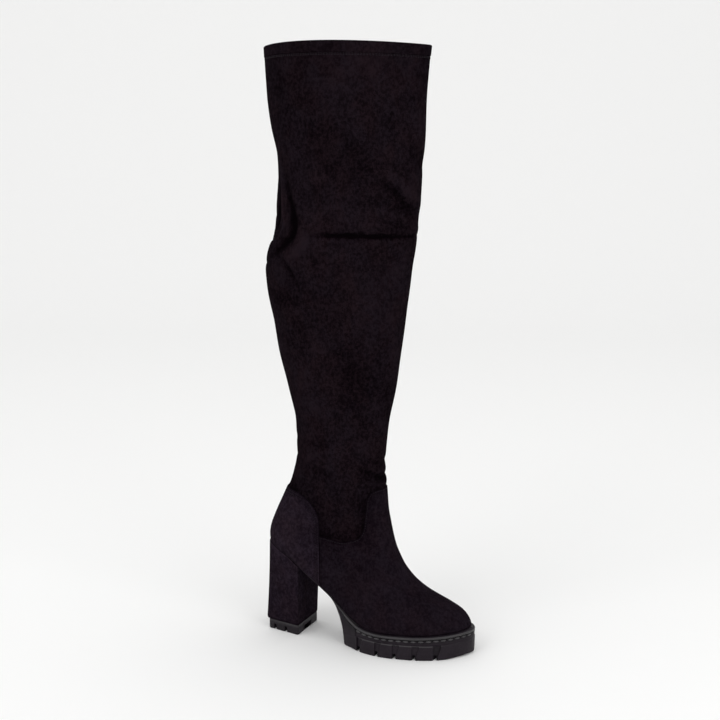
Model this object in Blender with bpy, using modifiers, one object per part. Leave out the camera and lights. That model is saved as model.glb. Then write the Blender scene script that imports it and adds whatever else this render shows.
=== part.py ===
"""A right boot that reaches over the knee, on a covered block heel and a lugged platform, in metres.

+X points to the toe, +Y to the inner side of the foot and +Z up. The origin is the middle of the
heel's ground face. Every piece follows one last: the table LAST gives its sections along the foot,
FAN the loops that turn from the sole line to the ankle, and LEG the loops up to the collar.
"""

import math
from collections import namedtuple

import bmesh
import bpy
import numpy as np

# Driving sizes of the last
FOOT_LENGTH = 0.2306
HEEL_WIDTH = 0.0570
BALL_WIDTH = 0.0835
SEAT_HEIGHT = 0.104
FOREPART_HEIGHT = 0.0255
TOE_SPRING = 0.0025
TOE_SPRING_START = 0.62
TOE_HEIGHT = 0.0307
INSTEP_HEIGHT = 0.1275
TOE_TURN = 0.011
HEEL_ROUND = 0.026
FEATHER_TUCK = 0.0022
TUCK_HEIGHT = 0.012

# Driving sizes of the shaft
ANKLE_HEIGHT = 0.210
ANKLE_DEPTH = 0.0990
ANKLE_WIDTH = 0.068
CALF_DEPTH = 0.1645
CALF_WIDTH = 0.100
COLLAR_HEIGHT = 0.643
COLLAR_CREST = 0.0042
COLLAR_DEPTH = 0.1820
COLLAR_WIDTH = 0.112
HEM_HEIGHT = 0.0115
HEM_STEP = 0.0007

# Walls, panels and clearances
UPPER_WALL = 0.0016
PANEL_THICKNESS = 0.0011
PANEL_SEAM = 0.0006
PANEL_LIFT = 0.0009
INSOLE_THICKNESS = 0.0025
CLEARANCE = 0.0003
WELT_CLEARANCE = 0.0006
END_GAP = 0.0003
STATION_GAP = 0.0004
SMOOTH_ANGLE = 38

# Driving sizes of the heel
HEEL_LENGTH = 0.0408
HEEL_BASE_WIDTH = 0.0495
HEEL_FLARE = 0.0076
HEEL_RIM = 0.0032
HEEL_PINCH = 0.0010
HEEL_EDGE = 0.0016
HEEL_EDGE_RISE = 0.0040
HEEL_OVERHANG = 0.0018
TOP_PIECE_HEIGHT = 0.0112
TOP_PIECE_GROOVE_WIDTH = 0.0026
TOP_PIECE_GROOVE_HEIGHT = 0.0052
TOP_PIECE_GROOVE_DEPTH = 0.0050
TOP_PIECE_GROOVES = (0.22, 0.58)
BREAST_GROOVE_WIDTH = 0.0034

# Driving sizes of the platform
SOLE_EDGE = 0.0050
WAIST_THICKNESS = 0.0020
PLATFORM_START = 0.0787
PLATFORM_COVE = 0.022
COVE_POWER = 4
WELT_HEIGHT = 0.0030
WELT_REACH = 0.0030
WELT_START = 0.0660
WELT_ROUND = 0.28
WELT_THIN = 0.25
WELT_FULL_FROM = 0.36
WELT_FULL_OVER = 0.10
WELT_STATIONS = 44
LUG_HEIGHT = 0.0150
LUG_STEP = 0.0012
TREAD_BEVEL = 0.0012
BEVEL_SHARE = 0.7
NARROW_SHARE = 0.25
TOE_LIFT = 0.0012
TOE_LIFT_START = 0.86
CHANNEL_WIDTH = 0.0036
CHANNEL_HEIGHT = 0.0048
SIDE_GROOVE_WIDTH = 0.0054
SIDE_GROOVE_DEPTH = 0.0050
SIDE_GROOVE_TAPER = 0.55

# Where the boot stands: the back of the last lies this far behind the middle of the heel
SEAT_BACK = 0.0198

# Sections of the last from the back of the heel to the toe tip. along: share of FOOT_LENGTH.
# drop: share of the fall from the seat to the ball. seat: how much of the width follows the heel.
# outer, inner: half-widths as shares of that width. turn: share of TOE_TURN.
# toe, instep: crown over the feather line as shares of TOE_HEIGHT and INSTEP_HEIGHT.
# dome: how square the section's top is.
Section = namedtuple("Section", "along drop seat outer inner turn toe instep dome")
LAST = [
    Section(0.000, 0.000, 1.00, 0.500, 0.500, 0.00, 0.00, 1.70, 1.8),
    Section(0.048, 0.032, 1.00, 0.500, 0.500, 0.00, 0.00, 1.70, 1.8),
    Section(0.091, 0.083, 1.00, 0.502, 0.500, 0.00, 0.00, 1.70, 1.8),
    Section(0.142, 0.172, 1.00, 0.506, 0.496, 0.00, 0.00, 1.70, 1.8),
    Section(0.185, 0.274, 1.00, 0.508, 0.490, 0.00, 0.00, 1.70, 1.8),
    Section(0.241, 0.401, 1.00, 0.498, 0.468, 0.00, 0.00, 1.70, 1.7),
    Section(0.301, 0.529, 0.86, 0.456, 0.412, 0.00, 0.00, 1.70, 1.6),
    Section(0.361, 0.662, 0.64, 0.410, 0.370, 0.00, 0.00, 1.70, 1.5),
    Section(0.416, 0.796, 0.42, 0.405, 0.368, 0.00, 0.00, 1.66, 1.4),
    Section(0.472, 0.911, 0.20, 0.414, 0.382, 0.00, 0.00, 1.50, 1.3),
    Section(0.519, 0.968, 0.04, 0.440, 0.405, 0.00, 0.00, 1.30, 1.3),
    Section(0.575, 0.993, 0.00, 0.480, 0.452, 0.00, 0.00, 1.02, 1.3),
    Section(0.600, 0.998, 0.00, 0.490, 0.472, 0.00, 0.00, 0.82, 1.4),
    Section(0.635, 1.000, 0.00, 0.500, 0.492, 0.00, 0.10, 0.61, 1.5),
    Section(0.680, 1.000, 0.00, 0.494, 0.500, 0.02, 0.25, 0.415, 1.7),
    Section(0.735, 1.000, 0.00, 0.472, 0.490, 0.06, 0.50, 0.245, 1.9),
    Section(0.800, 1.000, 0.00, 0.448, 0.460, 0.19, 0.80, 0.095, 2.1),
    Section(0.865, 1.000, 0.00, 0.427, 0.424, 0.41, 0.94, 0.02, 2.2),
    Section(0.920, 1.000, 0.00, 0.406, 0.382, 0.63, 0.94, 0.00, 2.3),
    Section(0.960, 1.000, 0.00, 0.380, 0.344, 0.81, 0.90, 0.00, 2.3),
    Section(1.000, 1.000, 0.00, 0.340, 0.305, 1.00, 0.80, 0.00, 2.3),
]

# Loops from the feather line to the ankle. front: where the loop meets the crown of the foot, a
# share of FOOT_LENGTH, and rise: its height there as a share of ANKLE_HEIGHT, or None on the last's
# own crown. back: its height at the back, a share of the way from the seat to the ankle, and
# lean: how far forward, a share of the way to the back of the ankle. sag: how much it follows the
# curve of the sole. leg: how far its plan has become the leg's oval, of the width girth.
Loop = namedtuple("Loop", "front rise back lean sag leg girth")
FAN = [
    Loop(1.0000, None, 0.000, 0.000, 1.000, 0.00, 0.90),
    Loop(0.9985, None, 0.015, -0.022, 0.990, 0.00, 0.90),
    Loop(0.9935, None, 0.035, -0.036, 0.970, 0.00, 0.90),
    Loop(0.9820, None, 0.060, -0.042, 0.945, 0.00, 0.90),
    Loop(0.9600, None, 0.095, -0.038, 0.915, 0.00, 0.90),
    Loop(0.9200, None, 0.140, -0.018, 0.880, 0.00, 0.90),
    Loop(0.8650, None, 0.190, 0.022, 0.840, 0.00, 0.90),
    Loop(0.8000, None, 0.245, 0.088, 0.780, 0.02, 0.90),
    Loop(0.7350, None, 0.305, 0.163, 0.700, 0.08, 0.90),
    Loop(0.6800, None, 0.375, 0.256, 0.600, 0.20, 0.90),
    Loop(0.6350, None, 0.450, 0.364, 0.480, 0.38, 0.91),
    Loop(0.6030, None, 0.530, 0.478, 0.350, 0.60, 0.92),
    Loop(0.5820, None, 0.620, 0.606, 0.220, 0.82, 0.94),
    Loop(0.5770, 0.795, 0.720, 0.752, 0.110, 1.00, 0.96),
    Loop(0.5735, 0.875, 0.820, 0.884, 0.040, 1.00, 0.98),
    Loop(0.5720, 0.942, 0.915, 0.966, 0.000, 1.00, 0.99),
]

# Loops of the shaft. height: share of the way from the ankle to the collar. centre: share of
# FOOT_LENGTH from the back of the last. ankle, calf, collar: shares of those three girths.
Ring = namedtuple("Ring", "height centre ankle calf collar")
LEG = [
    Ring(0.000, 0.363, 1.00, 0.00, 0.00),
    Ring(0.085, 0.366, 0.88, 0.12, 0.00),
    Ring(0.170, 0.358, 0.63, 0.37, 0.00),
    Ring(0.250, 0.351, 0.42, 0.58, 0.00),
    Ring(0.330, 0.349, 0.24, 0.76, 0.00),
    Ring(0.410, 0.344, 0.07, 0.93, 0.00),
    Ring(0.475, 0.350, 0.00, 1.00, 0.00),
    Ring(0.520, 0.369, 0.00, 0.99, 0.00),
    Ring(0.548, 0.384, 0.00, 0.963, 0.00),
    Ring(0.595, 0.392, 0.00, 0.955, 0.00),
    Ring(0.660, 0.404, 0.00, 0.93, 0.03),
    Ring(0.735, 0.404, 0.00, 0.72, 0.235),
    Ring(0.805, 0.395, 0.00, 0.40, 0.568),
    Ring(0.880, 0.391, 0.00, 0.18, 0.795),
    Ring(1.000, 0.395, 0.00, 0.00, 1.00),
]

# Stations that every piece on the sole line shares, as shares of FOOT_LENGTH
BREAST = 0.185
STATIONS = [0.0, 0.006, 0.024, 0.055, 0.098, 0.14, BREAST, 0.235, 0.285, 0.335, 0.38, 0.425, 0.47,
            0.515, 0.565, 0.62, 0.68, 0.74, 0.80, 0.855, 0.905, 0.948, 0.978, 0.994, 1.0]
TOE_ROUND_START = 0.735
TOE_ROUND_POWER = 2.6

# Further stations of the outsole: in its cove, shares of PLATFORM_COVE from the ground's start, and
# over the toe, shares of the way back from the tip to the toe of the last
COVE_STATIONS = np.array([0.75, 0.55, 0.38, 0.24, 0.13, 0.05, 0.0, -0.02])
TOE_STATIONS = np.array([0.62, 0.32, 0.10])

# Points along each side of a plan outline, and how little of a length counts as none
OUTLINE_POINTS = 260
TINY = 1e-6

# The collar's edge rises between its back and front: how fast the rise fades downwards and how
# far back its highest place lies
CREST_FADE = 12
CREST_PLACE = 0.8

# Offset of the sole's edge from the feather line, as shares of SOLE_EDGE, along the foot
Edge = namedtuple("Edge", "along reach")
SOLE_REACH = [Edge(0.0, -0.14), Edge(0.185, -0.14), Edge(0.29, 0.02), Edge(0.36, 0.30),
              Edge(0.42, 0.62), Edge(0.48, 0.90), Edge(0.55, 1.0), Edge(1.0, 1.0)]

# How far the platform's ground outline lies inside its side, as shares of the ball's width
GROUND_INSET = [Edge(0.40, 0.075), Edge(0.43, 0.040), Edge(0.47, 0.015), Edge(0.52, 0.004),
                Edge(0.60, 0.002), Edge(0.93, 0.002), Edge(1.0, 0.016)]

# The heel's ground outline: where the rounding of its back corners ends, as a share of its
# length, and how much of its width the back keeps flat
HEEL_CORNER = 0.12
HEEL_BACK_FLAT = 0.86
HEEL_CORNER_POWER = 2.6
HEEL_STATIONS = np.array([0.0, 0.02, 0.08, 0.18, 0.32, 0.50, 0.75, 1.0])
HEEL_RINGS = (0.33, 0.66)

# Side grooves of the platform, as shares of FOOT_LENGTH on the outer and the inner side
Groove = namedtuple("Groove", "outer inner")
GROOVES = [Groove(0.520, 0.515), Groove(0.620, 0.615), Groove(0.707, 0.714), Groove(0.797, 0.812),
           Groove(0.888, 0.905)]

# Colour, linear, and roughness of each material
Finish = namedtuple("Finish", "colour roughness")
FINISHES = {
    "shaft_microsuede": Finish((0.012, 0.010, 0.012), 0.95),
    "vamp_microsuede": Finish((0.014, 0.012, 0.014), 0.90),
    "counter_microsuede": Finish((0.014, 0.012, 0.014), 0.90),
    "insole_lining": Finish((0.050, 0.045, 0.045), 0.80),
    "sole_rubber": Finish((0.035, 0.035, 0.037), 0.60),
    "welt_rubber": Finish((0.045, 0.045, 0.047), 0.50),
    "heel_cover_microsuede": Finish((0.013, 0.011, 0.013), 0.90),
    "top_piece_rubber": Finish((0.035, 0.035, 0.037), 0.60),
}

# Edges of the outer panels in side view: along, a share of FOOT_LENGTH, and height, a share of
# the way from the forepart to the ankle
Corner = namedtuple("Corner", "along height")
SEAM_ALONG = 0.312
COUNTER_EDGE = [Corner(SEAM_ALONG, 0.40), Corner(SEAM_ALONG, 0.50), Corner(0.308, 0.58), Corner(0.292, 0.67),
                Corner(0.264, 0.735), Corner(0.225, 0.785), Corner(0.175, 0.818), Corner(0.10, 0.835),
                Corner(-0.20, 0.838)]
THROAT_EDGE = [Corner(SEAM_ALONG, 0.545), Corner(0.37, 0.520), Corner(0.43, 0.508), Corner(0.49, 0.510),
               Corner(0.525, 0.530), Corner(0.543, 0.57), Corner(0.548, 0.64), Corner(0.550, 0.72),
               Corner(0.553, 0.775), Corner(0.560, 0.812), Corner(0.574, 0.836), Corner(0.60, 0.846),
               Corner(1.15, 0.846)]


def curve_through(rows, place, value):
    """Returns a smooth function through a table's rows that never swings past them."""
    x = np.array([getattr(row, place) for row in rows], float)
    y = np.array([getattr(row, value) for row in rows], float)
    step = np.diff(x)
    slope = np.diff(y) / step
    tangent = np.zeros(len(x))
    tangent[0], tangent[-1] = slope[0], slope[-1]
    for i in range(1, len(x) - 1):
        if slope[i - 1] * slope[i] > 0:
            before = 2 * step[i] + step[i - 1]
            after = step[i] + 2 * step[i - 1]
            tangent[i] = (before + after) / (before / slope[i - 1] + after / slope[i])

    def at(points):
        points = np.clip(np.asarray(points, float), x[0], x[-1])
        i = np.clip(np.searchsorted(x, points, side="right") - 1, 0, len(x) - 2)
        t = (points - x[i]) / step[i]
        rise = t * t * (3 - 2 * t)
        return (y[i] * (1 - rise) + y[i + 1] * rise
                + step[i] * (tangent[i] * t * (1 - t) ** 2 - tangent[i + 1] * t * t * (1 - t)))

    return at


LAST_CURVE = {name: curve_through(LAST, "along", name) for name in Section._fields[1:]}
REACH_CURVE = curve_through(SOLE_REACH, "along", "reach")
INSET_CURVE = curve_through(GROUND_INSET, "along", "reach")


def x_at(along):
    return -SEAT_BACK + np.asarray(along, float) * FOOT_LENGTH


def along_at(x):
    return (np.asarray(x, float) + SEAT_BACK) / FOOT_LENGTH


def feather_height(along):
    """Height of the line where the upper meets the sole."""
    share = np.clip((np.asarray(along, float) - TOE_SPRING_START) / (1 - TOE_SPRING_START), 0, 1)
    fall = (SEAT_HEIGHT - FOREPART_HEIGHT) * LAST_CURVE["drop"](along)
    return SEAT_HEIGHT - fall + TOE_SPRING * share ** 2


def seat_height(x):
    """The same height in straight runs between the shared stations, so that seats lie parallel."""
    return np.interp(along_at(x), STATIONS, feather_height(STATIONS))


def toe_round(along):
    """1 over the foot, falling to 0 at the toe tip."""
    share = np.clip((np.asarray(along, float) - TOE_ROUND_START) / (1 - TOE_ROUND_START), 0, 1)
    return np.sqrt(1 - share ** TOE_ROUND_POWER)


def heel_round(from_back):
    """0 at the back of the heel, rising to 1 where its sides run straight."""
    share = np.clip(from_back / HEEL_ROUND, 0, 1)
    return np.sqrt(1 - (1 - share) ** 2)


def crown_over_feather(along):
    """How far the last's crown stands over the feather line."""
    crown = TOE_HEIGHT * LAST_CURVE["toe"](along) + INSTEP_HEIGHT * LAST_CURVE["instep"](along)
    return crown * toe_round(along)


def last_half_width(side, along, height, back):
    """Half-width of the last on one side at a place in side view, where back is the heel's x."""
    width = BALL_WIDTH + (HEEL_WIDTH - BALL_WIDTH) * LAST_CURVE["seat"](along)
    half = width * LAST_CURVE[side](along) * toe_round(along) * heel_round(x_at(along) - back)
    crown = np.maximum(crown_over_feather(along), TINY)
    above = np.maximum(height - feather_height(along), 0)
    dome = np.sqrt(np.maximum(1 - np.clip(above / crown, 0, 1) ** LAST_CURVE["dome"](along), 0))
    tuck = 1 - FEATHER_TUCK / (BALL_WIDTH / 2) * np.maximum(1 - above / TUCK_HEIGHT, 0) ** 2
    return half * dome * tuck


def crown_height(along):
    return feather_height(along) + crown_over_feather(along)


def axis_at(along):
    """How far the toe turns to the inner side."""
    return TOE_TURN * LAST_CURVE["turn"](along)


def leg_ring(ring):
    """Centre, half-depth and half-width of the shaft at one row of LEG."""
    depth = ANKLE_DEPTH * ring.ankle + CALF_DEPTH * ring.calf + COLLAR_DEPTH * ring.collar
    width = ANKLE_WIDTH * ring.ankle + CALF_WIDTH * ring.calf + COLLAR_WIDTH * ring.collar
    return float(x_at(ring.centre)), depth / 2, width / 2


def ring_points(xs, outer, inner, zs, axis):
    """One loop, from the back along the outer side to the front and back along the inner side."""
    outside = np.stack([xs, axis - outer, zs], 1)
    inside = np.stack([xs, axis + inner, zs], 1)
    return np.concatenate([outside, inside[-2:0:-1]])


def fan_loop(loop, share):
    """A loop between the feather line and the ankle."""
    centre, half_depth, _ = leg_ring(LEG[0])
    ankle_back = centre - half_depth
    back_x = -SEAT_BACK + loop.lean * (ankle_back + SEAT_BACK)
    back_z = SEAT_HEIGHT + loop.back * (ANKLE_HEIGHT - SEAT_HEIGHT)
    front_x = float(x_at(loop.front))
    front_z = float(crown_height(loop.front)) if loop.rise is None else loop.rise * ANKLE_HEIGHT
    if loop is FAN[0]:
        front_z = float(feather_height(1.0))
    chord = SEAT_HEIGHT + share * (float(feather_height(1.0)) - SEAT_HEIGHT)
    bow = feather_height(share) - chord
    xs = back_x + share * (front_x - back_x)
    zs = back_z + share * (front_z - back_z) + loop.sag * bow
    oval = ANKLE_WIDTH / 2 * loop.girth * np.sqrt(np.maximum(1 - (2 * share - 1) ** 2, 0))
    sides = []
    for side in ("outer", "inner"):
        foot = last_half_width(side, along_at(xs), zs, back_x)
        half = foot * (1 - loop.leg) + oval * loop.leg
        half[0] = half[-1] = 0
        sides.append(half)
    return ring_points(xs, sides[0], sides[1], zs, axis_at(along_at(xs)) * (1 - loop.leg))


def shaft_loop(centre, half_depth, half_width, height, share):
    """A level oval loop of the shaft."""
    reach = 2 * share - 1
    half = half_width * np.sqrt(np.maximum(1 - reach ** 2, 0))
    half[0] = half[-1] = 0
    level = np.broadcast_to(height, share.shape)
    return ring_points(centre + reach * half_depth, half, half, level, np.zeros(len(share)))


def foot_loops():
    share = np.array(STATIONS)
    return [fan_loop(loop, share) for loop in FAN]


def leg_loops():
    """Loops from the ankle to the collar, with the folded hem as a step."""
    share = np.array(STATIONS)
    span = COLLAR_HEIGHT - ANKLE_HEIGHT
    hem_start = 1 - HEM_HEIGHT / span
    crest = COLLAR_CREST * (1 - (2 * share ** CREST_PLACE - 1) ** 2)
    sizes = {name: curve_through(LEG, "height", name) for name in Ring._fields[1:]}

    def at(height, proud=0.0):
        ring = Ring(height, *(float(sizes[name](height)) for name in Ring._fields[1:]))
        centre, half_depth, half_width = leg_ring(ring)
        level = ANKLE_HEIGHT + height * span + crest * height ** CREST_FADE
        return shaft_loop(centre, half_depth + proud, half_width + proud, level, share)

    loops = [at(ring.height) for ring in LEG if ring.height < hem_start]
    loops.append(at(hem_start))
    loops.append(at(hem_start + HEM_STEP / span, HEM_STEP))
    loops.append(at(1.0, HEM_STEP))
    return loops


def grid_faces(rows, around):
    """Faces of a tube grid whose rows run round and stand on one another."""
    return [(r * around + c, r * around + (c + 1) % around,
             (r + 1) * around + (c + 1) % around, (r + 1) * around + c)
            for r in range(rows - 1) for c in range(around)]


def material(name):
    colour, roughness = FINISHES[name]
    made = bpy.data.materials.new(name)
    made.use_nodes = True
    shader = made.node_tree.nodes["Principled BSDF"]
    shader.inputs["Base Color"].default_value = (*colour, 1.0)
    shader.inputs["Roughness"].default_value = roughness
    shader.inputs["Metallic"].default_value = 0.0
    made.diffuse_color = (*colour, 1.0)
    return made


def mesh_object(name, points, faces, collection, finish=None):
    mesh = bpy.data.meshes.new(name)
    mesh.from_pydata([tuple(map(float, p)) for p in points], [], faces)
    mesh.validate()
    obj = bpy.data.objects.new(name, mesh)
    collection.objects.link(obj)
    if finish is not None:
        mesh.materials.append(finish)
    return obj


def outward(obj):
    """Turns a closed mesh's faces outwards."""
    shape = bmesh.new()
    shape.from_mesh(obj.data)
    bmesh.ops.recalc_face_normals(shape, faces=shape.faces)
    shape.to_mesh(obj.data)
    shape.free()


def smooth(obj):
    obj.data.shade_smooth()
    obj.data.set_sharp_from_angle(angle=math.radians(SMOOTH_ANGLE))


def solidify(obj, thickness, side):
    made = obj.modifiers.new("wall", "SOLIDIFY")
    made.thickness = thickness
    made.offset = side
    made.use_even_offset = True
    made.use_rim = True


def boolean(obj, cutter, operation):
    made = obj.modifiers.new(cutter.name, "BOOLEAN")
    made.operation = operation
    made.solver = "EXACT"
    made.object = cutter


def as_cutter(obj):
    outward(obj)
    obj.hide_render = True
    obj.display_type = "WIRE"
    return obj


class Outline:
    """The feather line in plan, moved out by an offset that may change along the foot."""

    def __init__(self, offset):
        dense = (1 - np.cos(np.linspace(0, math.pi, OUTLINE_POINTS))) / 2
        heights = feather_height(dense)
        moved = []
        for side, sign in (("outer", -1), ("inner", 1)):
            half = last_half_width(side, dense, heights, -SEAT_BACK)
            half[0] = half[-1] = 0
            points = np.stack([x_at(dense), axis_at(dense) + sign * half], 1)
            tangent = np.gradient(points, axis=0)
            tangent[0], tangent[-1] = (0, sign), (0, -sign)
            tangent /= np.linalg.norm(tangent, axis=1)[:, None]
            normal = np.stack([-sign * tangent[:, 1], sign * tangent[:, 0]], 1)
            reach = np.broadcast_to(offset(dense) if callable(offset) else offset, dense.shape)
            moved.append(points + normal * reach[:, None])
        self.outer, self.inner = moved
        self.start = self.outer[0, 0]
        self.end = self.outer[-1, 0]

    def across(self, x):
        """The y of both sides at these x."""
        found = []
        for side in (self.outer, self.inner):
            order = np.argsort(side[:, 0])
            found.append(np.interp(x, side[order, 0], side[order, 1]))
        return found

    def path(self, first, count):
        """Points and outward directions from an x on the outer side, round the toe, to the inner."""
        line = np.concatenate([self.outer[self.outer[:, 0] > first],
                               self.inner[self.inner[:, 0] > first][::-1][1:]])
        length = np.concatenate([[0], np.cumsum(np.linalg.norm(np.diff(line, axis=0), axis=1))])
        wanted = np.linspace(0, length[-1], count)
        points = np.stack([np.interp(wanted, length, line[:, k]) for k in range(2)], 1)
        tangent = np.gradient(points, axis=0)
        tangent /= np.linalg.norm(tangent, axis=1)[:, None]
        return points, np.stack([tangent[:, 1], -tangent[:, 0]], 1)


def sole_offset(along):
    return SOLE_EDGE * REACH_CURVE(along)


def stations_between(first, last):
    """x of the shared stations between two ends, and the ends."""
    shared = x_at(STATIONS)
    inside = shared[(shared > first + STATION_GAP) & (shared < last - STATION_GAP)]
    return np.concatenate([[first], inside, [last]])


def ladder(name, sections, collection, finish):
    """A solid from closed sections of equal count, one after another along the foot."""
    count = len(sections[0])
    points = np.concatenate(sections)
    faces = grid_faces(len(sections), count)
    faces.append(tuple(range(count)))
    faces.append(tuple(range(len(points) - count, len(points)))[::-1])
    obj = mesh_object(name, points, faces, collection, finish)
    outward(obj)
    return obj


def make_upper(parts, finish):
    """The hollow wall of foot and shaft, open at the collar and underneath."""
    loops = foot_loops() + leg_loops()
    around = len(loops[0])
    obj = mesh_object("upper", np.concatenate(loops), grid_faces(len(loops), around), parts, finish)
    solidify(obj, UPPER_WALL, -1)
    smooth(obj)
    return obj


def panel_outline(edge):
    """Side view of a panel: its edge, closed along the feather line."""
    rise = ANKLE_HEIGHT - FOREPART_HEIGHT
    top = [(float(x_at(c.along)), FOREPART_HEIGHT + c.height * rise) for c in edge]
    seam = float(x_at(SEAM_ALONG))
    far = top[-1][0]
    shift = PANEL_SEAM / 2 if far > seam else -PANEL_SEAM / 2
    top[0] = (top[0][0] + shift, top[0][1])
    if abs(top[1][0] - seam) < TINY:
        top[1] = (top[1][0] + shift, top[1][1])
    shared = x_at(STATIONS)
    low, high = sorted((seam + shift, far))
    below = [x for x in shared if low < x < high]
    ends = [seam + shift] + (below if far > seam else below[::-1]) + [far]
    bottom = [(x, float(seat_height(x)) + PANEL_LIFT) for x in ends]
    return bottom + top[::-1]


def make_panel(name, edge, parts, cutters, finish):
    """A panel over the upper: the upper's own surface, moved out and cut to the panel's edge."""
    loops = foot_loops() + leg_loops()[:2]
    around = len(loops[0])
    obj = mesh_object(name, np.concatenate(loops), grid_faces(len(loops), around), parts, finish)
    shape = bmesh.new()
    shape.from_mesh(obj.data)
    shape.normal_update()
    for vertex, place in [(v, v.co + v.normal * CLEARANCE) for v in shape.verts]:
        vertex.co = place
    shape.to_mesh(obj.data)
    shape.free()
    solidify(obj, PANEL_THICKNESS, 1)
    outline = panel_outline(edge)
    reach = BALL_WIDTH
    points = [(x, y, z) for y in (-reach, reach) for x, z in outline]
    count = len(outline)
    faces = [(k, (k + 1) % count, count + (k + 1) % count, count + k) for k in range(count)]
    faces += [tuple(range(count)), tuple(range(2 * count - 1, count - 1, -1))]
    cutter = as_cutter(mesh_object(name + "_outline", points, faces, cutters))
    boolean(obj, cutter, "INTERSECT")
    smooth(obj)
    return obj


def make_insole(parts, finish):
    """The insole, inside the upper's wall and on the sole line."""
    outline = Outline(-(UPPER_WALL + 2 * CLEARANCE))
    xs = stations_between(outline.start + END_GAP, outline.end - END_GAP)
    outer, inner = outline.across(xs)
    base = seat_height(xs) + CLEARANCE
    sections = []
    for x, low, high, z in zip(xs, outer, inner, base):
        top = z + INSOLE_THICKNESS
        sections.append([(x, low, z), (x, high, z), (x, high, top), (x, low, top)])
    obj = ladder("insole", sections, parts, finish)
    smooth(obj)
    return obj


def sole_bottom(x):
    """Underside of the waist and the platform."""
    waist = seat_height(x) - WAIST_THICKNESS
    away = np.clip((PLATFORM_START - x) / PLATFORM_COVE, 0, 1)
    toe = max(0.0, (along_at(x) - TOE_LIFT_START) / (1 - TOE_LIFT_START))
    return waist * (1 - (1 - away) ** COVE_POWER) + TOE_LIFT * toe ** 2


def make_outsole(parts, cutters, finish):
    """The lugged platform, with its waist up to the heel's breast."""
    outline = Outline(sole_offset)
    breast = float(x_at(BREAST)) + CLEARANCE
    tip = outline.end - END_GAP
    cove = PLATFORM_START - PLATFORM_COVE * COVE_STATIONS
    toe = tip - (tip - float(x_at(1.0))) * TOE_STATIONS
    shared = [x for x in stations_between(breast, tip) if np.min(np.abs(cove - x)) > 2 * STATION_GAP]
    xs = np.sort(np.concatenate([shared, cove, toe]))
    outer, inner = outline.across(xs)
    sections = []
    for x, low, high in zip(xs, outer, inner):
        top = float(seat_height(x)) - CLEARANCE
        bottom = float(sole_bottom(x))
        share = (top - bottom) / FOREPART_HEIGHT
        inset = BALL_WIDTH * float(INSET_CURVE(along_at(x))) * min(1.0, share)
        inset = min(inset, (high - low) * NARROW_SHARE)
        lug = bottom + LUG_HEIGHT * share
        bevel = TREAD_BEVEL * share
        step = min(LUG_STEP * share, (high - low) * NARROW_SHARE)
        sections.append([
            (x, low + inset + bevel, bottom), (x, high - inset - bevel, bottom),
            (x, high - inset * BEVEL_SHARE, bottom + bevel), (x, high, lug), (x, high - step, lug + step),
            (x, high - step, top), (x, low + step, top),
            (x, low + step, lug + step), (x, low, lug), (x, low + inset * BEVEL_SHARE, bottom + bevel)])
    obj = ladder("outsole", sections, parts, finish)
    boolean(obj, welt_seat(cutters), "DIFFERENCE")
    for number, groove in enumerate(GROOVES, 1):
        for cutter in groove_cutters(number, groove, outline, cutters):
            boolean(obj, cutter, "DIFFERENCE")
    smooth(obj)
    return obj


def block(name, centre, half, yaw, collection, top_share=1.0):
    """A box whose top may be narrower along its own x."""
    corners = []
    for dx, dy, dz in [(-1, -1, -1), (1, -1, -1), (1, 1, -1), (-1, 1, -1),
                       (-1, -1, 1), (1, -1, 1), (1, 1, 1), (-1, 1, 1)]:
        narrow = top_share if dz > 0 else 1.0
        corners.append((dx * half[0] * narrow, dy * half[1], dz * half[2]))
    turn = np.array([[math.cos(yaw), -math.sin(yaw)], [math.sin(yaw), math.cos(yaw)]])
    points = [(*(turn @ np.array(c[:2]) + np.array(centre[:2])), c[2] + centre[2]) for c in corners]
    faces = [(0, 3, 2, 1), (4, 5, 6, 7), (0, 1, 5, 4), (1, 2, 6, 5), (2, 3, 7, 6), (3, 0, 4, 7)]
    return as_cutter(mesh_object(name, points, faces, collection))


def groove_cutters(number, groove, outline, cutters):
    """The channel across the tread and its tall ends in the platform's sides."""
    ends = []
    for side, along in ((0, groove.outer), (1, groove.inner)):
        x = float(x_at(along))
        ends.append(np.array([x, float(outline.across(x)[side])]))
    run = ends[1] - ends[0]
    yaw = math.atan2(run[1], run[0]) - math.pi / 2
    middle = (ends[0] + ends[1]) / 2
    across = np.linalg.norm(run) / 2 + SIDE_GROOVE_DEPTH
    half = (CHANNEL_WIDTH / 2, across, CHANNEL_HEIGHT)
    made = [block(f"channel_{number}", (*middle, 0.0), half, yaw, cutters)]
    half = (SIDE_GROOVE_WIDTH / 2, SIDE_GROOVE_DEPTH, LUG_HEIGHT - LUG_STEP)
    for side, name in enumerate(("outer", "inner")):
        near = ends[side][0] + SIDE_GROOVE_WIDTH / 2
        slope = (float(outline.across(near)[side]) - ends[side][1]) / (near - ends[side][0])
        made.append(block(f"groove_{number}_{name}", (*ends[side], 0.0), half, math.atan(slope), cutters,
                          SIDE_GROOVE_TAPER))
    return made


def welt_sections(shape_at):
    """Sections along the welt's path; shape_at gives each one's corners from its full share."""
    outline = Outline(sole_offset)
    points, normal = outline.path(WELT_START, WELT_STATIONS)
    sections = []
    for place, direction in zip(points, normal):
        along = float(along_at(place[0]))
        full = float(np.clip((along - WELT_FULL_FROM) / WELT_FULL_OVER, WELT_THIN, 1.0))
        inside = -(float(sole_offset(along)) + WELT_REACH * full)
        section = []
        for out, drop in shape_at(inside, WELT_HEIGHT * full):
            spot = place + direction * out
            section.append((*spot, float(seat_height(spot[0])) - WELT_CLEARANCE + drop))
        sections.append(section)
    return sections


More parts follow.
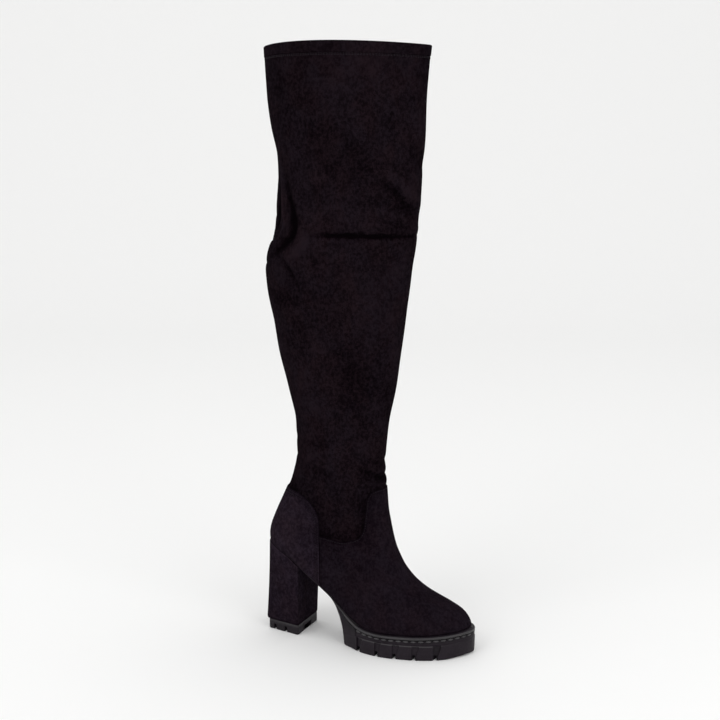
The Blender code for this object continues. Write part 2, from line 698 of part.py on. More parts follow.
def make_welt(parts, finish):
    """The rounded bead round the platform's top, under the upper's edge."""
    def bead(inside, height):
        return [(inside, 0.0), (-height * WELT_ROUND, 0.0), (0.0, -height / 2),
                (-height * WELT_ROUND, -height), (inside, -height)]

    obj = ladder("welt", welt_sections(bead), parts, finish)
    smooth(obj)
    return obj


def welt_seat(cutters):
    """The rebate that the welt lies in, open to the platform's side and top."""
    def rebate(inside, height):
        return [(inside - CLEARANCE, WELT_HEIGHT), (WELT_HEIGHT, WELT_HEIGHT),
                (WELT_HEIGHT, -height - CLEARANCE), (inside - CLEARANCE, -height - CLEARANCE)]

    return as_cutter(ladder("welt_seat", welt_sections(rebate), cutters, None))


def heel_base(inset):
    """Stations and half-widths of the heel's ground outline, from the back to the breast."""
    back = -HEEL_LENGTH / 2 + inset
    front = HEEL_LENGTH / 2 - max(inset, 0.0)
    xs = back + HEEL_STATIONS * (front - back)
    corner = np.clip(HEEL_STATIONS / HEEL_CORNER, 0, 1)
    rounded = (1 - (1 - corner) ** HEEL_CORNER_POWER) ** (1 / HEEL_CORNER_POWER)
    rounded[0] = HEEL_BACK_FLAT
    half = (HEEL_BASE_WIDTH / 2 - inset - HEEL_FLARE * (1 - HEEL_STATIONS)) * rounded
    return xs, half


def heel_ring(xs, outer, inner, zs):
    return np.concatenate([np.stack([xs, outer, zs], 1), np.stack([xs, inner, zs], 1)[::-1]])


def stacked(name, rings, collection, finish):
    """A solid from rings that stand on one another, closed by strips between their two sides."""
    count = len(rings[0])
    half = count // 2
    points = np.concatenate(rings)
    faces = grid_faces(len(rings), count)
    top = len(points) - count
    for k in range(half - 1):
        faces.append((k, k + 1, count - 2 - k, count - 1 - k))
        faces.append((top + count - 1 - k, top + count - 2 - k, top + k + 1, top + k))
    obj = mesh_object(name, points, faces, collection, finish)
    outward(obj)
    return obj


def make_heel(parts, finish):
    """The covered block, from the top piece to the slanted seat."""
    outline = Outline(HEEL_RIM)
    breast = float(x_at(BREAST))
    xs = stations_between(outline.start + TINY, breast)
    outer, inner = outline.across(xs)
    top = heel_ring(xs, outer, inner, seat_height(xs) - CLEARANCE)
    base_xs, base_half = heel_base(-HEEL_OVERHANG)
    foot_z = TOP_PIECE_HEIGHT + CLEARANCE
    level = np.full(len(base_xs), foot_z + HEEL_EDGE_RISE)
    low = heel_ring(base_xs, -base_half, base_half, level)
    edge_xs, edge_half = heel_base(HEEL_EDGE - HEEL_OVERHANG)
    foot = heel_ring(edge_xs, -edge_half, edge_half, np.full(len(edge_xs), foot_z))
    rings = [foot, low]
    for rise in HEEL_RINGS:
        ring = low + (top - low) * rise
        ring[:, 1] *= 1 - HEEL_PINCH / (HEEL_BASE_WIDTH / 2)
        rings.append(ring)
    rings.append(top)
    obj = stacked("heel", rings, parts, finish)
    smooth(obj)
    return obj


def make_top_piece(parts, cutters, finish):
    """The rubber top piece, with two grooves in each side and one in the breast."""
    xs, half = heel_base(0.0)
    rings = [heel_ring(xs, -half, half, np.full(len(xs), z)) for z in (0.0, TOP_PIECE_HEIGHT)]
    obj = stacked("heel_top_piece", rings, parts, finish)
    size = (TOP_PIECE_GROOVE_WIDTH / 2, TOP_PIECE_GROOVE_DEPTH, TOP_PIECE_GROOVE_HEIGHT)
    for number, share in enumerate(TOP_PIECE_GROOVES, 1):
        x = -HEEL_LENGTH / 2 + share * HEEL_LENGTH
        side = float(np.interp(x, xs, half))
        for name, y in (("outer", -side), ("inner", side)):
            boolean(obj, block(f"nick_{number}_{name}", (x, y, 0.0), size, 0.0, cutters), "DIFFERENCE")
    size = (TOP_PIECE_GROOVE_DEPTH, BREAST_GROOVE_WIDTH / 2, TOP_PIECE_GROOVE_HEIGHT)
    boolean(obj, block("nick_breast", (xs[-1], 0.0, 0.0), size, 0.0, cutters), "DIFFERENCE")
    smooth(obj)
    return obj


def main():
    for old in list(bpy.data.objects):
        bpy.data.objects.remove(old, do_unlink=True)
    parts = bpy.data.collections.new("heeled_boot")
    cutters = bpy.data.collections.new("cutters")
    bpy.context.scene.collection.children.link(parts)
    bpy.context.scene.collection.children.link(cutters)
    make_upper(parts, material("shaft_microsuede"))
    make_panel("vamp", THROAT_EDGE, parts, cutters, material("vamp_microsuede"))
    make_panel("counter", COUNTER_EDGE, parts, cutters, material("counter_microsuede"))
    make_insole(parts, material("insole_lining"))
    make_outsole(parts, cutters, material("sole_rubber"))
    make_welt(parts, material("welt_rubber"))
    make_heel(parts, material("heel_cover_microsuede"))
    make_top_piece(parts, cutters, material("top_piece_rubber"))


main()
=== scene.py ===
"""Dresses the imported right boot: stretch shaft, foot panels, covered heel, lugged platform and a plain studio.

Every piece follows the same last as the part's source, in metres: +X to the toe, +Y to the inner side
of the foot and +Z up, with the origin in the middle of the heel's ground face.
"""

from __future__ import annotations

import logging
import math
from collections.abc import Callable, Sequence
from dataclasses import dataclass, field
from enum import Enum
from typing import Any, NamedTuple

import bpy
import numpy as np
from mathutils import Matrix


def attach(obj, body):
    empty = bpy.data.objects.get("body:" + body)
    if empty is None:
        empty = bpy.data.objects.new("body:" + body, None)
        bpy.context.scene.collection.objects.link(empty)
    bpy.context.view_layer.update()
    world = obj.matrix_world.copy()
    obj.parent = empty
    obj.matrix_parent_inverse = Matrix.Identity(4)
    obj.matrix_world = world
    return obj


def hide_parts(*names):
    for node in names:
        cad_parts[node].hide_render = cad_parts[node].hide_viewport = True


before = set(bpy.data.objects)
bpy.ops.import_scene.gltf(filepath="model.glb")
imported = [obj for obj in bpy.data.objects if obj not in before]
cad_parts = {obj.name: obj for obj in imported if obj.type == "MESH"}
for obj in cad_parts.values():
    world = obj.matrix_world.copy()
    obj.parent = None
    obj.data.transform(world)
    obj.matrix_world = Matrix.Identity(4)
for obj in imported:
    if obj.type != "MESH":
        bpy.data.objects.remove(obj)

Array = np.ndarray
Object = bpy.types.Object
Material = bpy.types.Material
Colour = tuple[float, float, float]
log = logging.getLogger("heeled_boot")

MM = 0.001
TINY = 1e-6
BODY = "root"


# Tables of the last and the shaft


class Section(NamedTuple):
    """A section of the last: place along the foot, then shares of its named sizes."""

    along: float
    drop: float
    seat: float
    outer: float
    inner: float
    turn: float
    toe: float
    instep: float
    dome: float


class Loop(NamedTuple):
    """A loop that turns from the feather line to the ankle."""

    front: float
    rise: float | None
    back: float
    lean: float
    sag: float
    leg: float
    girth: float


class Ring(NamedTuple):
    """A level loop of the shaft: height, centre and shares of the three girths."""

    height: float
    centre: float
    ankle: float
    calf: float
    collar: float


class Edge(NamedTuple):
    """A reach at a place along the foot."""

    along: float
    reach: float


class Corner(NamedTuple):
    """A corner of a panel's edge in side view, as shares of the foot's length and the ankle's height."""

    along: float
    height: float


class Channel(NamedTuple):
    """Where a channel of the tread meets the outer and the inner side, as shares of the foot's length."""

    outer: float
    inner: float


class Wave(NamedTuple):
    """A slow wave of the loose cloth: millimetres, turns round the shaft, radians a metre up, and phase."""

    height: float
    turns: float
    climb: float
    phase: float


class Lamp(NamedTuple):
    """A soft square lamp: its name, place, side and power in watts."""

    name: str
    place: tuple[float, float, float]
    size: float
    power: float


class CreasePoint(NamedTuple):
    """A point of a crease: degrees round the shaft from its back over the outer side, then millimetres."""

    angle: float
    height: float
    depth: float


LAST = [
    Section(0.000, 0.000, 1.00, 0.500, 0.500, 0.00, 0.00, 1.70, 1.8),
    Section(0.048, 0.032, 1.00, 0.500, 0.500, 0.00, 0.00, 1.70, 1.8),
    Section(0.091, 0.083, 1.00, 0.502, 0.500, 0.00, 0.00, 1.70, 1.8),
    Section(0.142, 0.172, 1.00, 0.506, 0.496, 0.00, 0.00, 1.70, 1.8),
    Section(0.185, 0.274, 1.00, 0.508, 0.490, 0.00, 0.00, 1.70, 1.8),
    Section(0.241, 0.401, 1.00, 0.498, 0.468, 0.00, 0.00, 1.70, 1.7),
    Section(0.301, 0.529, 0.86, 0.456, 0.412, 0.00, 0.00, 1.70, 1.6),
    Section(0.361, 0.662, 0.64, 0.410, 0.370, 0.00, 0.00, 1.70, 1.5),
    Section(0.416, 0.796, 0.42, 0.405, 0.368, 0.00, 0.00, 1.66, 1.4),
    Section(0.472, 0.911, 0.20, 0.414, 0.382, 0.00, 0.00, 1.50, 1.3),
    Section(0.519, 0.968, 0.04, 0.440, 0.405, 0.00, 0.00, 1.30, 1.3),
    Section(0.575, 0.993, 0.00, 0.480, 0.452, 0.00, 0.00, 1.02, 1.3),
    Section(0.600, 0.998, 0.00, 0.490, 0.472, 0.00, 0.00, 0.82, 1.4),
    Section(0.635, 1.000, 0.00, 0.500, 0.492, 0.00, 0.10, 0.61, 1.5),
    Section(0.680, 1.000, 0.00, 0.494, 0.500, 0.02, 0.25, 0.415, 1.7),
    Section(0.735, 1.000, 0.00, 0.472, 0.490, 0.06, 0.50, 0.245, 1.9),
    Section(0.800, 1.000, 0.00, 0.448, 0.460, 0.19, 0.80, 0.095, 2.1),
    Section(0.865, 1.000, 0.00, 0.427, 0.424, 0.41, 0.94, 0.02, 2.2),
    Section(0.920, 1.000, 0.00, 0.406, 0.382, 0.63, 0.94, 0.00, 2.3),
    Section(0.960, 1.000, 0.00, 0.380, 0.344, 0.81, 0.90, 0.00, 2.3),
    Section(1.000, 1.000, 0.00, 0.340, 0.305, 1.00, 0.80, 0.00, 2.3),
]

FAN = [
    Loop(1.0000, None, 0.000, 0.000, 1.000, 0.00, 0.90),
    Loop(0.9985, None, 0.015, -0.022, 0.990, 0.00, 0.90),
    Loop(0.9935, None, 0.035, -0.036, 0.970, 0.00, 0.90),
    Loop(0.9820, None, 0.060, -0.042, 0.945, 0.00, 0.90),
    Loop(0.9600, None, 0.095, -0.038, 0.915, 0.00, 0.90),
    Loop(0.9200, None, 0.140, -0.018, 0.880, 0.00, 0.90),
    Loop(0.8650, None, 0.190, 0.022, 0.840, 0.00, 0.90),
    Loop(0.8000, None, 0.245, 0.088, 0.780, 0.02, 0.90),
    Loop(0.7350, None, 0.305, 0.163, 0.700, 0.08, 0.90),
    Loop(0.6800, None, 0.375, 0.256, 0.600, 0.20, 0.90),
    Loop(0.6350, None, 0.450, 0.364, 0.480, 0.38, 0.91),
    Loop(0.6030, None, 0.530, 0.478, 0.350, 0.60, 0.92),
    Loop(0.5820, None, 0.620, 0.606, 0.220, 0.82, 0.94),
    Loop(0.5770, 0.795, 0.720, 0.752, 0.110, 1.00, 0.96),
    Loop(0.5735, 0.875, 0.820, 0.884, 0.040, 1.00, 0.98),
    Loop(0.5720, 0.942, 0.915, 0.966, 0.000, 1.00, 0.99),
]

LEG = [
    Ring(0.000, 0.363, 1.00, 0.00, 0.00),
    Ring(0.085, 0.366, 0.88, 0.12, 0.00),
    Ring(0.170, 0.358, 0.63, 0.37, 0.00),
    Ring(0.250, 0.351, 0.42, 0.58, 0.00),
    Ring(0.330, 0.349, 0.24, 0.76, 0.00),
    Ring(0.410, 0.344, 0.07, 0.93, 0.00),
    Ring(0.475, 0.350, 0.00, 1.00, 0.00),
    Ring(0.520, 0.369, 0.00, 0.99, 0.00),
    Ring(0.548, 0.384, 0.00, 0.963, 0.00),
    Ring(0.595, 0.392, 0.00, 0.955, 0.00),
    Ring(0.660, 0.404, 0.00, 0.93, 0.03),
    Ring(0.735, 0.404, 0.00, 0.72, 0.235),
    Ring(0.805, 0.395, 0.00, 0.40, 0.568),
    Ring(0.880, 0.391, 0.00, 0.18, 0.795),
    Ring(0.940, 0.392, 0.00, 0.075, 0.912),
    Ring(1.000, 0.395, 0.00, 0.00, 1.00),
]

SOLE_REACH = [Edge(0.0, -0.14), Edge(0.185, -0.14), Edge(0.29, 0.02), Edge(0.36, 0.30),
              Edge(0.42, 0.62), Edge(0.48, 0.90), Edge(0.55, 1.0), Edge(1.0, 1.0)]
GROUND_INSET = [Edge(0.40, 0.075), Edge(0.43, 0.040), Edge(0.47, 0.015), Edge(0.52, 0.004),
                Edge(0.60, 0.002), Edge(0.93, 0.002), Edge(1.0, 0.016)]
CHANNELS = [Channel(0.520, 0.515), Channel(0.620, 0.615), Channel(0.707, 0.714), Channel(0.797, 0.812),
            Channel(0.888, 0.905)]

SEAM_ALONG = 0.300
COUNTER_EDGE = [Corner(SEAM_ALONG, 0.50), Corner(0.300, 0.575), Corner(0.295, 0.630), Corner(0.280, 0.677),
                Corner(0.253, 0.716), Corner(0.225, 0.742), Corner(0.190, 0.760), Corner(0.143, 0.768),
                Corner(0.10, 0.768), Corner(0.02, 0.766)]
THROAT_EDGE = [Corner(SEAM_ALONG, 0.516), Corner(0.328, 0.512), Corner(0.365, 0.506), Corner(0.401, 0.499),
               Corner(0.432, 0.500), Corner(0.460, 0.511), Corner(0.487, 0.524), Corner(0.507, 0.545),
               Corner(0.517, 0.585), Corner(0.521, 0.640), Corner(0.524, 0.70), Corner(0.528, 0.757),
               Corner(0.535, 0.786), Corner(0.547, 0.805), Corner(0.562, 0.814), Corner(0.60, 0.816)]


# Shapes shared by the pieces


class Curve:
    """A smooth function through a table's rows that never swings past them."""

    def __init__(self, rows: Sequence[Any], place: str, value: str) -> None:
        """Fits the curve.

        Args:
            rows: The table's rows, in order of place.
            place: Name of the column that gives each row's place.
            value: Name of the column that gives its value.
        """
        self.x = np.array([getattr(row, place) for row in rows], float)
        self.y = np.array([getattr(row, value) for row in rows], float)
        self.step = np.diff(self.x)
        slope = np.diff(self.y) / self.step
        self.tangent = np.zeros(len(self.x))
        self.tangent[0], self.tangent[-1] = slope[0], slope[-1]
        for i in range(1, len(self.x) - 1):
            if slope[i - 1] * slope[i] > 0:
                before = 2 * self.step[i] + self.step[i - 1]
                after = self.step[i] + 2 * self.step[i - 1]
                self.tangent[i] = (before + after) / (before / slope[i - 1] + after / slope[i])

    def __call__(self, points: Array | float) -> Array:
        """Reads the curve.

        Args:
            points: The places.

        Returns:
            The value at each.
        """
        x, y, step, tangent = self.x, self.y, self.step, self.tangent
        points = np.clip(np.asarray(points, float), x[0], x[-1])
        i = np.clip(np.searchsorted(x, points, side="right") - 1, 0, len(x) - 2)
        t = (points - x[i]) / step[i]
        rise = t * t * (3 - 2 * t)
        return (y[i] * (1 - rise) + y[i + 1] * rise
                + step[i] * (tangent[i] * t * (1 - t) ** 2 - tangent[i + 1] * t * t * (1 - t)))


def smoothstep(value: Array | float) -> Array:
    """Returns 0 below 0, 1 above 1 and an even ease between."""
    share = np.clip(value, 0, 1)
    return share * share * (3 - 2 * share)


def unit(vectors: Array) -> Array:
    """Returns the vectors at length one."""
    return vectors / np.maximum(np.linalg.norm(vectors, axis=-1, keepdims=True), 1e-12)


def through(points: Array, places: Array, wanted: Array) -> Array:
    """Runs a smooth line through rows of points.

    Args:
        points: The rows, of any shape after the first axis.
        places: The place of each row, rising.
        wanted: The places to find.

    Returns:
        One row for each wanted place.
    """
    tangent = np.empty_like(points)
    shape = (-1,) + (1,) * (points.ndim - 1)
    tangent[1:-1] = (points[2:] - points[:-2]) / (places[2:] - places[:-2]).reshape(shape)
    tangent[0] = (points[1] - points[0]) / (places[1] - places[0])
    tangent[-1] = (points[-1] - points[-2]) / (places[-1] - places[-2])
    i = np.clip(np.searchsorted(places, wanted, side="right") - 1, 0, len(places) - 2)
    step = (places[i + 1] - places[i]).reshape(shape)
    t = ((wanted - places[i]).reshape(shape)) / step
    rise = t * t * (3 - 2 * t)
    return (points[i] * (1 - rise) + points[i + 1] * rise
            + step * (tangent[i] * t * (1 - t) ** 2 - tangent[i + 1] * t * t * (1 - t)))


def lengths(points: Array) -> Array:
    """Returns the running length along a line of points, from 0."""
    return np.concatenate([[0.0], np.cumsum(np.linalg.norm(np.diff(points, axis=0), axis=1))])


def eased(line: Array, rounds: int) -> Array:
    """Smooths a line between its two ends.

    Args:
        line: Its points.
        rounds: How many times each point moves towards its neighbours.

    Returns:
        The smoothed line.
    """
    line = line.copy()
    for _ in range(rounds):
        line[1:-1] = (line[:-2] + 2 * line[1:-1] + line[2:]) / 4
    return line


@dataclass(frozen=True)
class Last:
    """Sizes of the last and the shaft, and the loops that follow from them."""

    foot_length: float = 0.2306
    heel_width: float = 0.0570
    ball_width: float = 0.0835
    seat: float = 0.104
    forepart: float = 0.0255
    toe_spring: float = 0.0025
    spring_start: float = 0.62
    toe_height: float = 0.0307
    instep_height: float = 0.1275
    toe_turn: float = 0.011
    heel_rounding: float = 0.026
    feather_tuck: float = 0.0022
    tuck_height: float = 0.012
    seat_back: float = 0.0198
    toe_round_start: float = 0.735
    toe_round_power: float = 2.6
    ankle_height: float = 0.210
    ankle_depth: float = 0.0990
    ankle_width: float = 0.068
    calf_depth: float = 0.1645
    calf_width: float = 0.100
    collar_height: float = 0.643
    collar_crest: float = 0.0042
    collar_depth: float = 0.1820
    collar_width: float = 0.112
    crest_fade: float = 12.0
    crest_place: float = 0.8
    curves: dict[str, Curve] = field(
        default_factory=lambda: {name: Curve(LAST, "along", name) for name in Section._fields[1:]})

    def x_at(self, along: Array | float) -> Array:
        """Returns the x of a place along the foot."""
        return -self.seat_back + np.asarray(along, float) * self.foot_length

    def along_at(self, x: Array | float) -> Array:
        """Returns the place along the foot of an x."""
        return (np.asarray(x, float) + self.seat_back) / self.foot_length

    def feather(self, along: Array | float) -> Array:
        """Finds the feather line, where the upper meets the sole.

        Args:
            along: Places along the foot.

        Returns:
            Its heights.
        """
        share = np.clip((np.asarray(along, float) - self.spring_start) / (1 - self.spring_start), 0, 1)
        fall = (self.seat - self.forepart) * self.curves["drop"](along)
        return self.seat - fall + self.toe_spring * share ** 2

    def toe_round(self, along: Array | float) -> Array:
        """Returns 1 over the foot, falling to 0 at the toe tip."""
        share = np.clip((np.asarray(along, float) - self.toe_round_start) / (1 - self.toe_round_start), 0, 1)
        return np.sqrt(1 - share ** self.toe_round_power)

    def crown(self, along: Array | float) -> Array:
        """Returns how far the last's crown stands over the feather line."""
        high = self.toe_height * self.curves["toe"](along) + self.instep_height * self.curves["instep"](along)
        return high * self.toe_round(along)

    def half_width(self, side: str, along: Array, height: Array, back: float) -> Array:
        """Finds the half-width of the last on one side.

        Args:
            side: "outer" or "inner".
            along: Places along the foot.
            height: The heights there.
            back: The x of the heel's back at this loop.

        Returns:
            The half-widths.
        """
        width = self.ball_width + (self.heel_width - self.ball_width) * self.curves["seat"](along)
        from_back = np.clip((self.x_at(along) - back) / self.heel_rounding, 0, 1)
        half = width * self.curves[side](along) * self.toe_round(along) * np.sqrt(1 - (1 - from_back) ** 2)
        above = np.maximum(height - self.feather(along), 0)
        share = np.clip(above / np.maximum(self.crown(along), TINY), 0, 1)
        dome = np.sqrt(np.maximum(1 - share ** self.curves["dome"](along), 0))
        tuck = 1 - self.feather_tuck / (self.ball_width / 2) * np.maximum(1 - above / self.tuck_height, 0) ** 2
        return half * dome * tuck

    def turn(self, along: Array | float) -> Array:
        """Returns how far the toe turns to the inner side."""
        return self.toe_turn * self.curves["turn"](along)

    def oval(self, ring: Ring) -> tuple[float, float, float]:
        """Sizes the shaft at one ring.

        Args:
            ring: A row of LEG.

        Returns:
            The x of its centre, its half-depth and its half-width.
        """
        depth = self.ankle_depth * ring.ankle + self.calf_depth * ring.calf + self.collar_depth * ring.collar
        width = self.ankle_width * ring.ankle + self.calf_width * ring.calf + self.collar_width * ring.collar
        return float(self.x_at(ring.centre)), depth / 2, width / 2

    def fan_loop(self, loop: Loop, angles: Array) -> Array:
        """Finds a loop between the feather line and the ankle.

        Args:
            loop: A row of FAN.
            angles: Angles round the loop from its back over the outer side, in radians.

        Returns:
            One point for each angle.
        """
        share = (1 - np.cos(angles)) / 2
        centre, half_depth, _ = self.oval(LEG[0])
        back_x = -self.seat_back + loop.lean * (centre - half_depth + self.seat_back)
        back_z = self.seat + loop.back * (self.ankle_height - self.seat)
        front_x = float(self.x_at(loop.front))
        if loop is FAN[0]:
            front_z = float(self.feather(1.0))
        elif loop.rise:
            front_z = loop.rise * self.ankle_height
        else:
            front_z = float(self.feather(loop.front) + self.crown(loop.front))
        bow = self.feather(share) - (self.seat + share * (float(self.feather(1.0)) - self.seat))
        xs = back_x + share * (front_x - back_x)
        zs = back_z + share * (front_z - back_z) + loop.sag * bow
        along = self.along_at(xs)
        inner = self.half_width("inner", along, zs, back_x)
        outer = self.half_width("outer", along, zs, back_x)
        foot = np.where(angles > math.pi, inner, outer)
        oval = self.ankle_width / 2 * loop.girth * np.abs(np.sin(angles))
        half = foot * (1 - loop.leg) + oval * loop.leg
        half = np.where(np.abs(np.sin(angles)) < TINY, 0.0, half)
        sign = np.where(angles > math.pi, 1.0, -1.0)
        return np.stack([xs, self.turn(along) * (1 - loop.leg) + sign * half, zs], 1)

    def leg_loop(self, ring: Ring, angles: Array) -> Array:
        """Finds a ring of the shaft.

        Args:
            ring: A row of LEG.
            angles: Angles round it, as in fan_loop.

        Returns:
            One point for each angle.
        """
        centre, half_depth, half_width = self.oval(ring)
        share = (1 - np.cos(angles)) / 2
        crest = self.collar_crest * (1 - (2 * share ** self.crest_place - 1) ** 2)
        level = self.ankle_height + ring.height * (self.collar_height - self.ankle_height)
        zs = level + crest * ring.height ** self.crest_fade
        return np.stack([centre - half_depth * np.cos(angles), -half_width * np.sin(angles), zs], 1)


class Outline:
    """The feather line in plan, moved out by an offset that may change along the foot."""

    POINTS = 700

    def __init__(self, last: Last, offset: Callable[[Array], Array]) -> None:
        """Draws both sides.

        Args:
            last: The last.
            offset: How far out, for places along the foot.
        """
        along = (1 - np.cos(np.linspace(0, math.pi, self.POINTS))) / 2
        sides = []
        for side, sign in (("outer", -1.0), ("inner", 1.0)):
            half = last.half_width(side, along, last.feather(along), -last.seat_back)
            half[0] = half[-1] = 0
            points = np.stack([last.x_at(along), last.turn(along) + sign * half], 1)
            tangent = unit(np.gradient(points, axis=0))
            tangent[0], tangent[-1] = (0, sign), (0, -sign)
            normal = np.stack([-sign * tangent[:, 1], sign * tangent[:, 0]], 1)
            sides.append(points + normal * offset(along)[:, None])
        self.outer, self.inner = sides
        self.start = float(self.outer[0, 0])
        self.end = float(self.outer[-1, 0])

    def across(self, x: Array | float, inner: bool) -> Array:
        """Reads one side of the outline.

        Args:
            x: The places.
            inner: Whether the inner side is meant.

        Returns:
            The y there.
        """
        side = self.inner if inner else self.outer
        order = np.argsort(side[:, 0])
        return np.interp(x, side[order, 0], side[order, 1])

    def path(self, first: float, count: int) -> tuple[Array, Array, Array]:
        """Walks from an x on the outer side, round the toe, to the same x on the inner side.

        Args:
            first: Where the walk starts and ends.
            count: How many points it has.

        Returns:
            The points, their outward directions and the running length.
        """
        line = np.concatenate([self.outer[self.outer[:, 0] > first],
                               self.inner[self.inner[:, 0] > first][::-1][1:]])
        run = lengths(line)
        wanted = np.linspace(0, run[-1], count)
        points = np.stack([np.interp(wanted, run, line[:, k]) for k in range(2)], 1)
        tangent = unit(np.gradient(points, axis=0))
        return points, np.stack([tangent[:, 1], -tangent[:, 0]], 1), wanted


# Meshes


def grid_faces(rows: int, columns: int, ring: bool = True, tube: bool = False) -> Array:
    """Lists the quads of a grid.

    Args:
        rows: Rows of vertices.
        columns: Vertices in each row.
        ring: Whether each row closes on itself.
        tube: Whether the last row joins the first.

    Returns:
        Four vertex numbers for each quad.
    """
    r = np.arange(rows if tube else rows - 1)[:, None]
    c = np.arange(columns if ring else columns - 1)[None, :]
    up, right = (r + 1) % rows, (c + 1) % columns
    return np.stack([r * columns + c, r * columns + right, up * columns + right, up * columns + c],
                    -1).reshape(-1, 4)


def make_object(name: str, points: Array, faces: Sequence[Sequence[int]] | Array, finish: Material,
                fields: dict[str, Array] | None = None, sharp: float = 40.0) -> Object:
    """Makes a mesh object at the origin.

    Args:
        name: The piece's name.
        points: Its vertices.
        faces: Its faces, turned outwards.
        finish: Its material.
        fields: Further values at each vertex, by name.
        sharp: The angle in degrees over which an edge stays sharp.

    Returns:
        The object, in the scene.
    """
    mesh = bpy.data.meshes.new(name)
    mesh.from_pydata(np.asarray(points, float).tolist(), [], [list(map(int, face)) for face in faces])
    mesh.validate()
    mesh.shade_smooth()
    mesh.set_sharp_from_angle(angle=math.radians(sharp))
    for key, values in (fields or {}).items():
        layer = mesh.attributes.new(key, "FLOAT", "POINT")
        layer.data.foreach_set("value", np.asarray(values, np.float32).ravel())
    mesh.materials.append(finish)
    obj = bpy.data.objects.new(name, mesh)
    bpy.context.scene.collection.objects.link(obj)
    return obj


def triangles(obj: Object) -> int:
    """Returns how many triangles an object's mesh has."""
    return sum(len(face.vertices) - 2 for face in obj.data.polygons)


def settle(obj: Object, *nodes: str, slot: str) -> None:
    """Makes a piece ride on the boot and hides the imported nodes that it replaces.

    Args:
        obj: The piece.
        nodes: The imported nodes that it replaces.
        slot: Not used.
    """
    if nodes:
        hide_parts(*nodes)
    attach(obj, BODY)
    log.info("%s: %d triangles", obj.name, triangles(obj))


# Node trees


class Signal:
    """An output socket of a node tree that takes part in sums and products."""

    def __init__(self, graph: Graph, socket: bpy.types.NodeSocket) -> None:
        """Wraps a socket of a graph."""
        self.graph = graph
        self.socket = socket

    def _math(self, operation: str, left: Any, right: Any) -> Signal:
        """Adds the Math or Vector Math node that joins two values.

        Args:
            operation: Its operation.
            left: The first value.
            right: The second value.

        Returns:
            The result.
        """
        vector = self.socket.type in ("VECTOR", "RGBA")
        kind = "ShaderNodeVectorMath" if vector else "ShaderNodeMath"
        return self.graph.out(kind, {"operation": operation}, {0: left, 1: right})

    def __add__(self, other: Any) -> Signal:
        """Adds."""
        return self._math("ADD", self, other)

    __radd__ = __add__

    def __sub__(self, other: Any) -> Signal:
        """Takes away."""
        return self._math("SUBTRACT", self, other)

    def __rsub__(self, other: Any) -> Signal:
        """Takes this away from a number."""
        return self._math("SUBTRACT", other, self)

    def __mul__(self, other: Any) -> Signal:
        """Multiplies."""
        return self._math("MULTIPLY", self, other)

    __rmul__ = __mul__

    def ramp(self, low: float, high: float) -> Signal:
        """Returns this eased from 0 at low to 1 at high."""
        settings = {"interpolation_type": "SMOOTHSTEP"}
        return self.graph.out("ShaderNodeMapRange", settings, {0: self, 1: low, 2: high, 3: 0.0, 4: 1.0})


class Graph:
    """A node tree with one method that adds any node."""

    def __init__(self, tree: bpy.types.NodeTree) -> None:
        """Wraps a tree."""
        self.tree = tree

    def node(self, kind: str, settings: dict[str, Any] | None = None,
             inputs: dict[int | str, Any] | None = None) -> bpy.types.Node:
        """Adds a node.

        Args:
            kind: The node's type.
            settings: Its settings, set before its sockets.
            inputs: A value, a Signal or a socket for each input, by name or number.

        Returns:
            The node.
        """
        made = self.tree.nodes.new(kind)
        for key, value in (settings or {}).items():
            setattr(made, key, value)
        for key, value in (inputs or {}).items():
            socket = made.inputs[key]
            if isinstance(value, Signal):
                self.tree.links.new(value.socket, socket)
            elif isinstance(value, bpy.types.NodeSocket):
                self.tree.links.new(value, socket)
            else:
                socket.default_value = value
        return made

    def out(self, kind: str, settings: dict[str, Any] | None = None,
            inputs: dict[int | str, Any] | None = None, output: int | str = 0) -> Signal:
        """Adds a node and returns one of its outputs.

        Args:
            kind: The node's type.
            settings: Its settings.
            inputs: Its inputs.
            output: The name or number of the output.

        Returns:
            The output as a Signal.
        """
        return Signal(self, self.node(kind, settings, inputs).outputs[output])


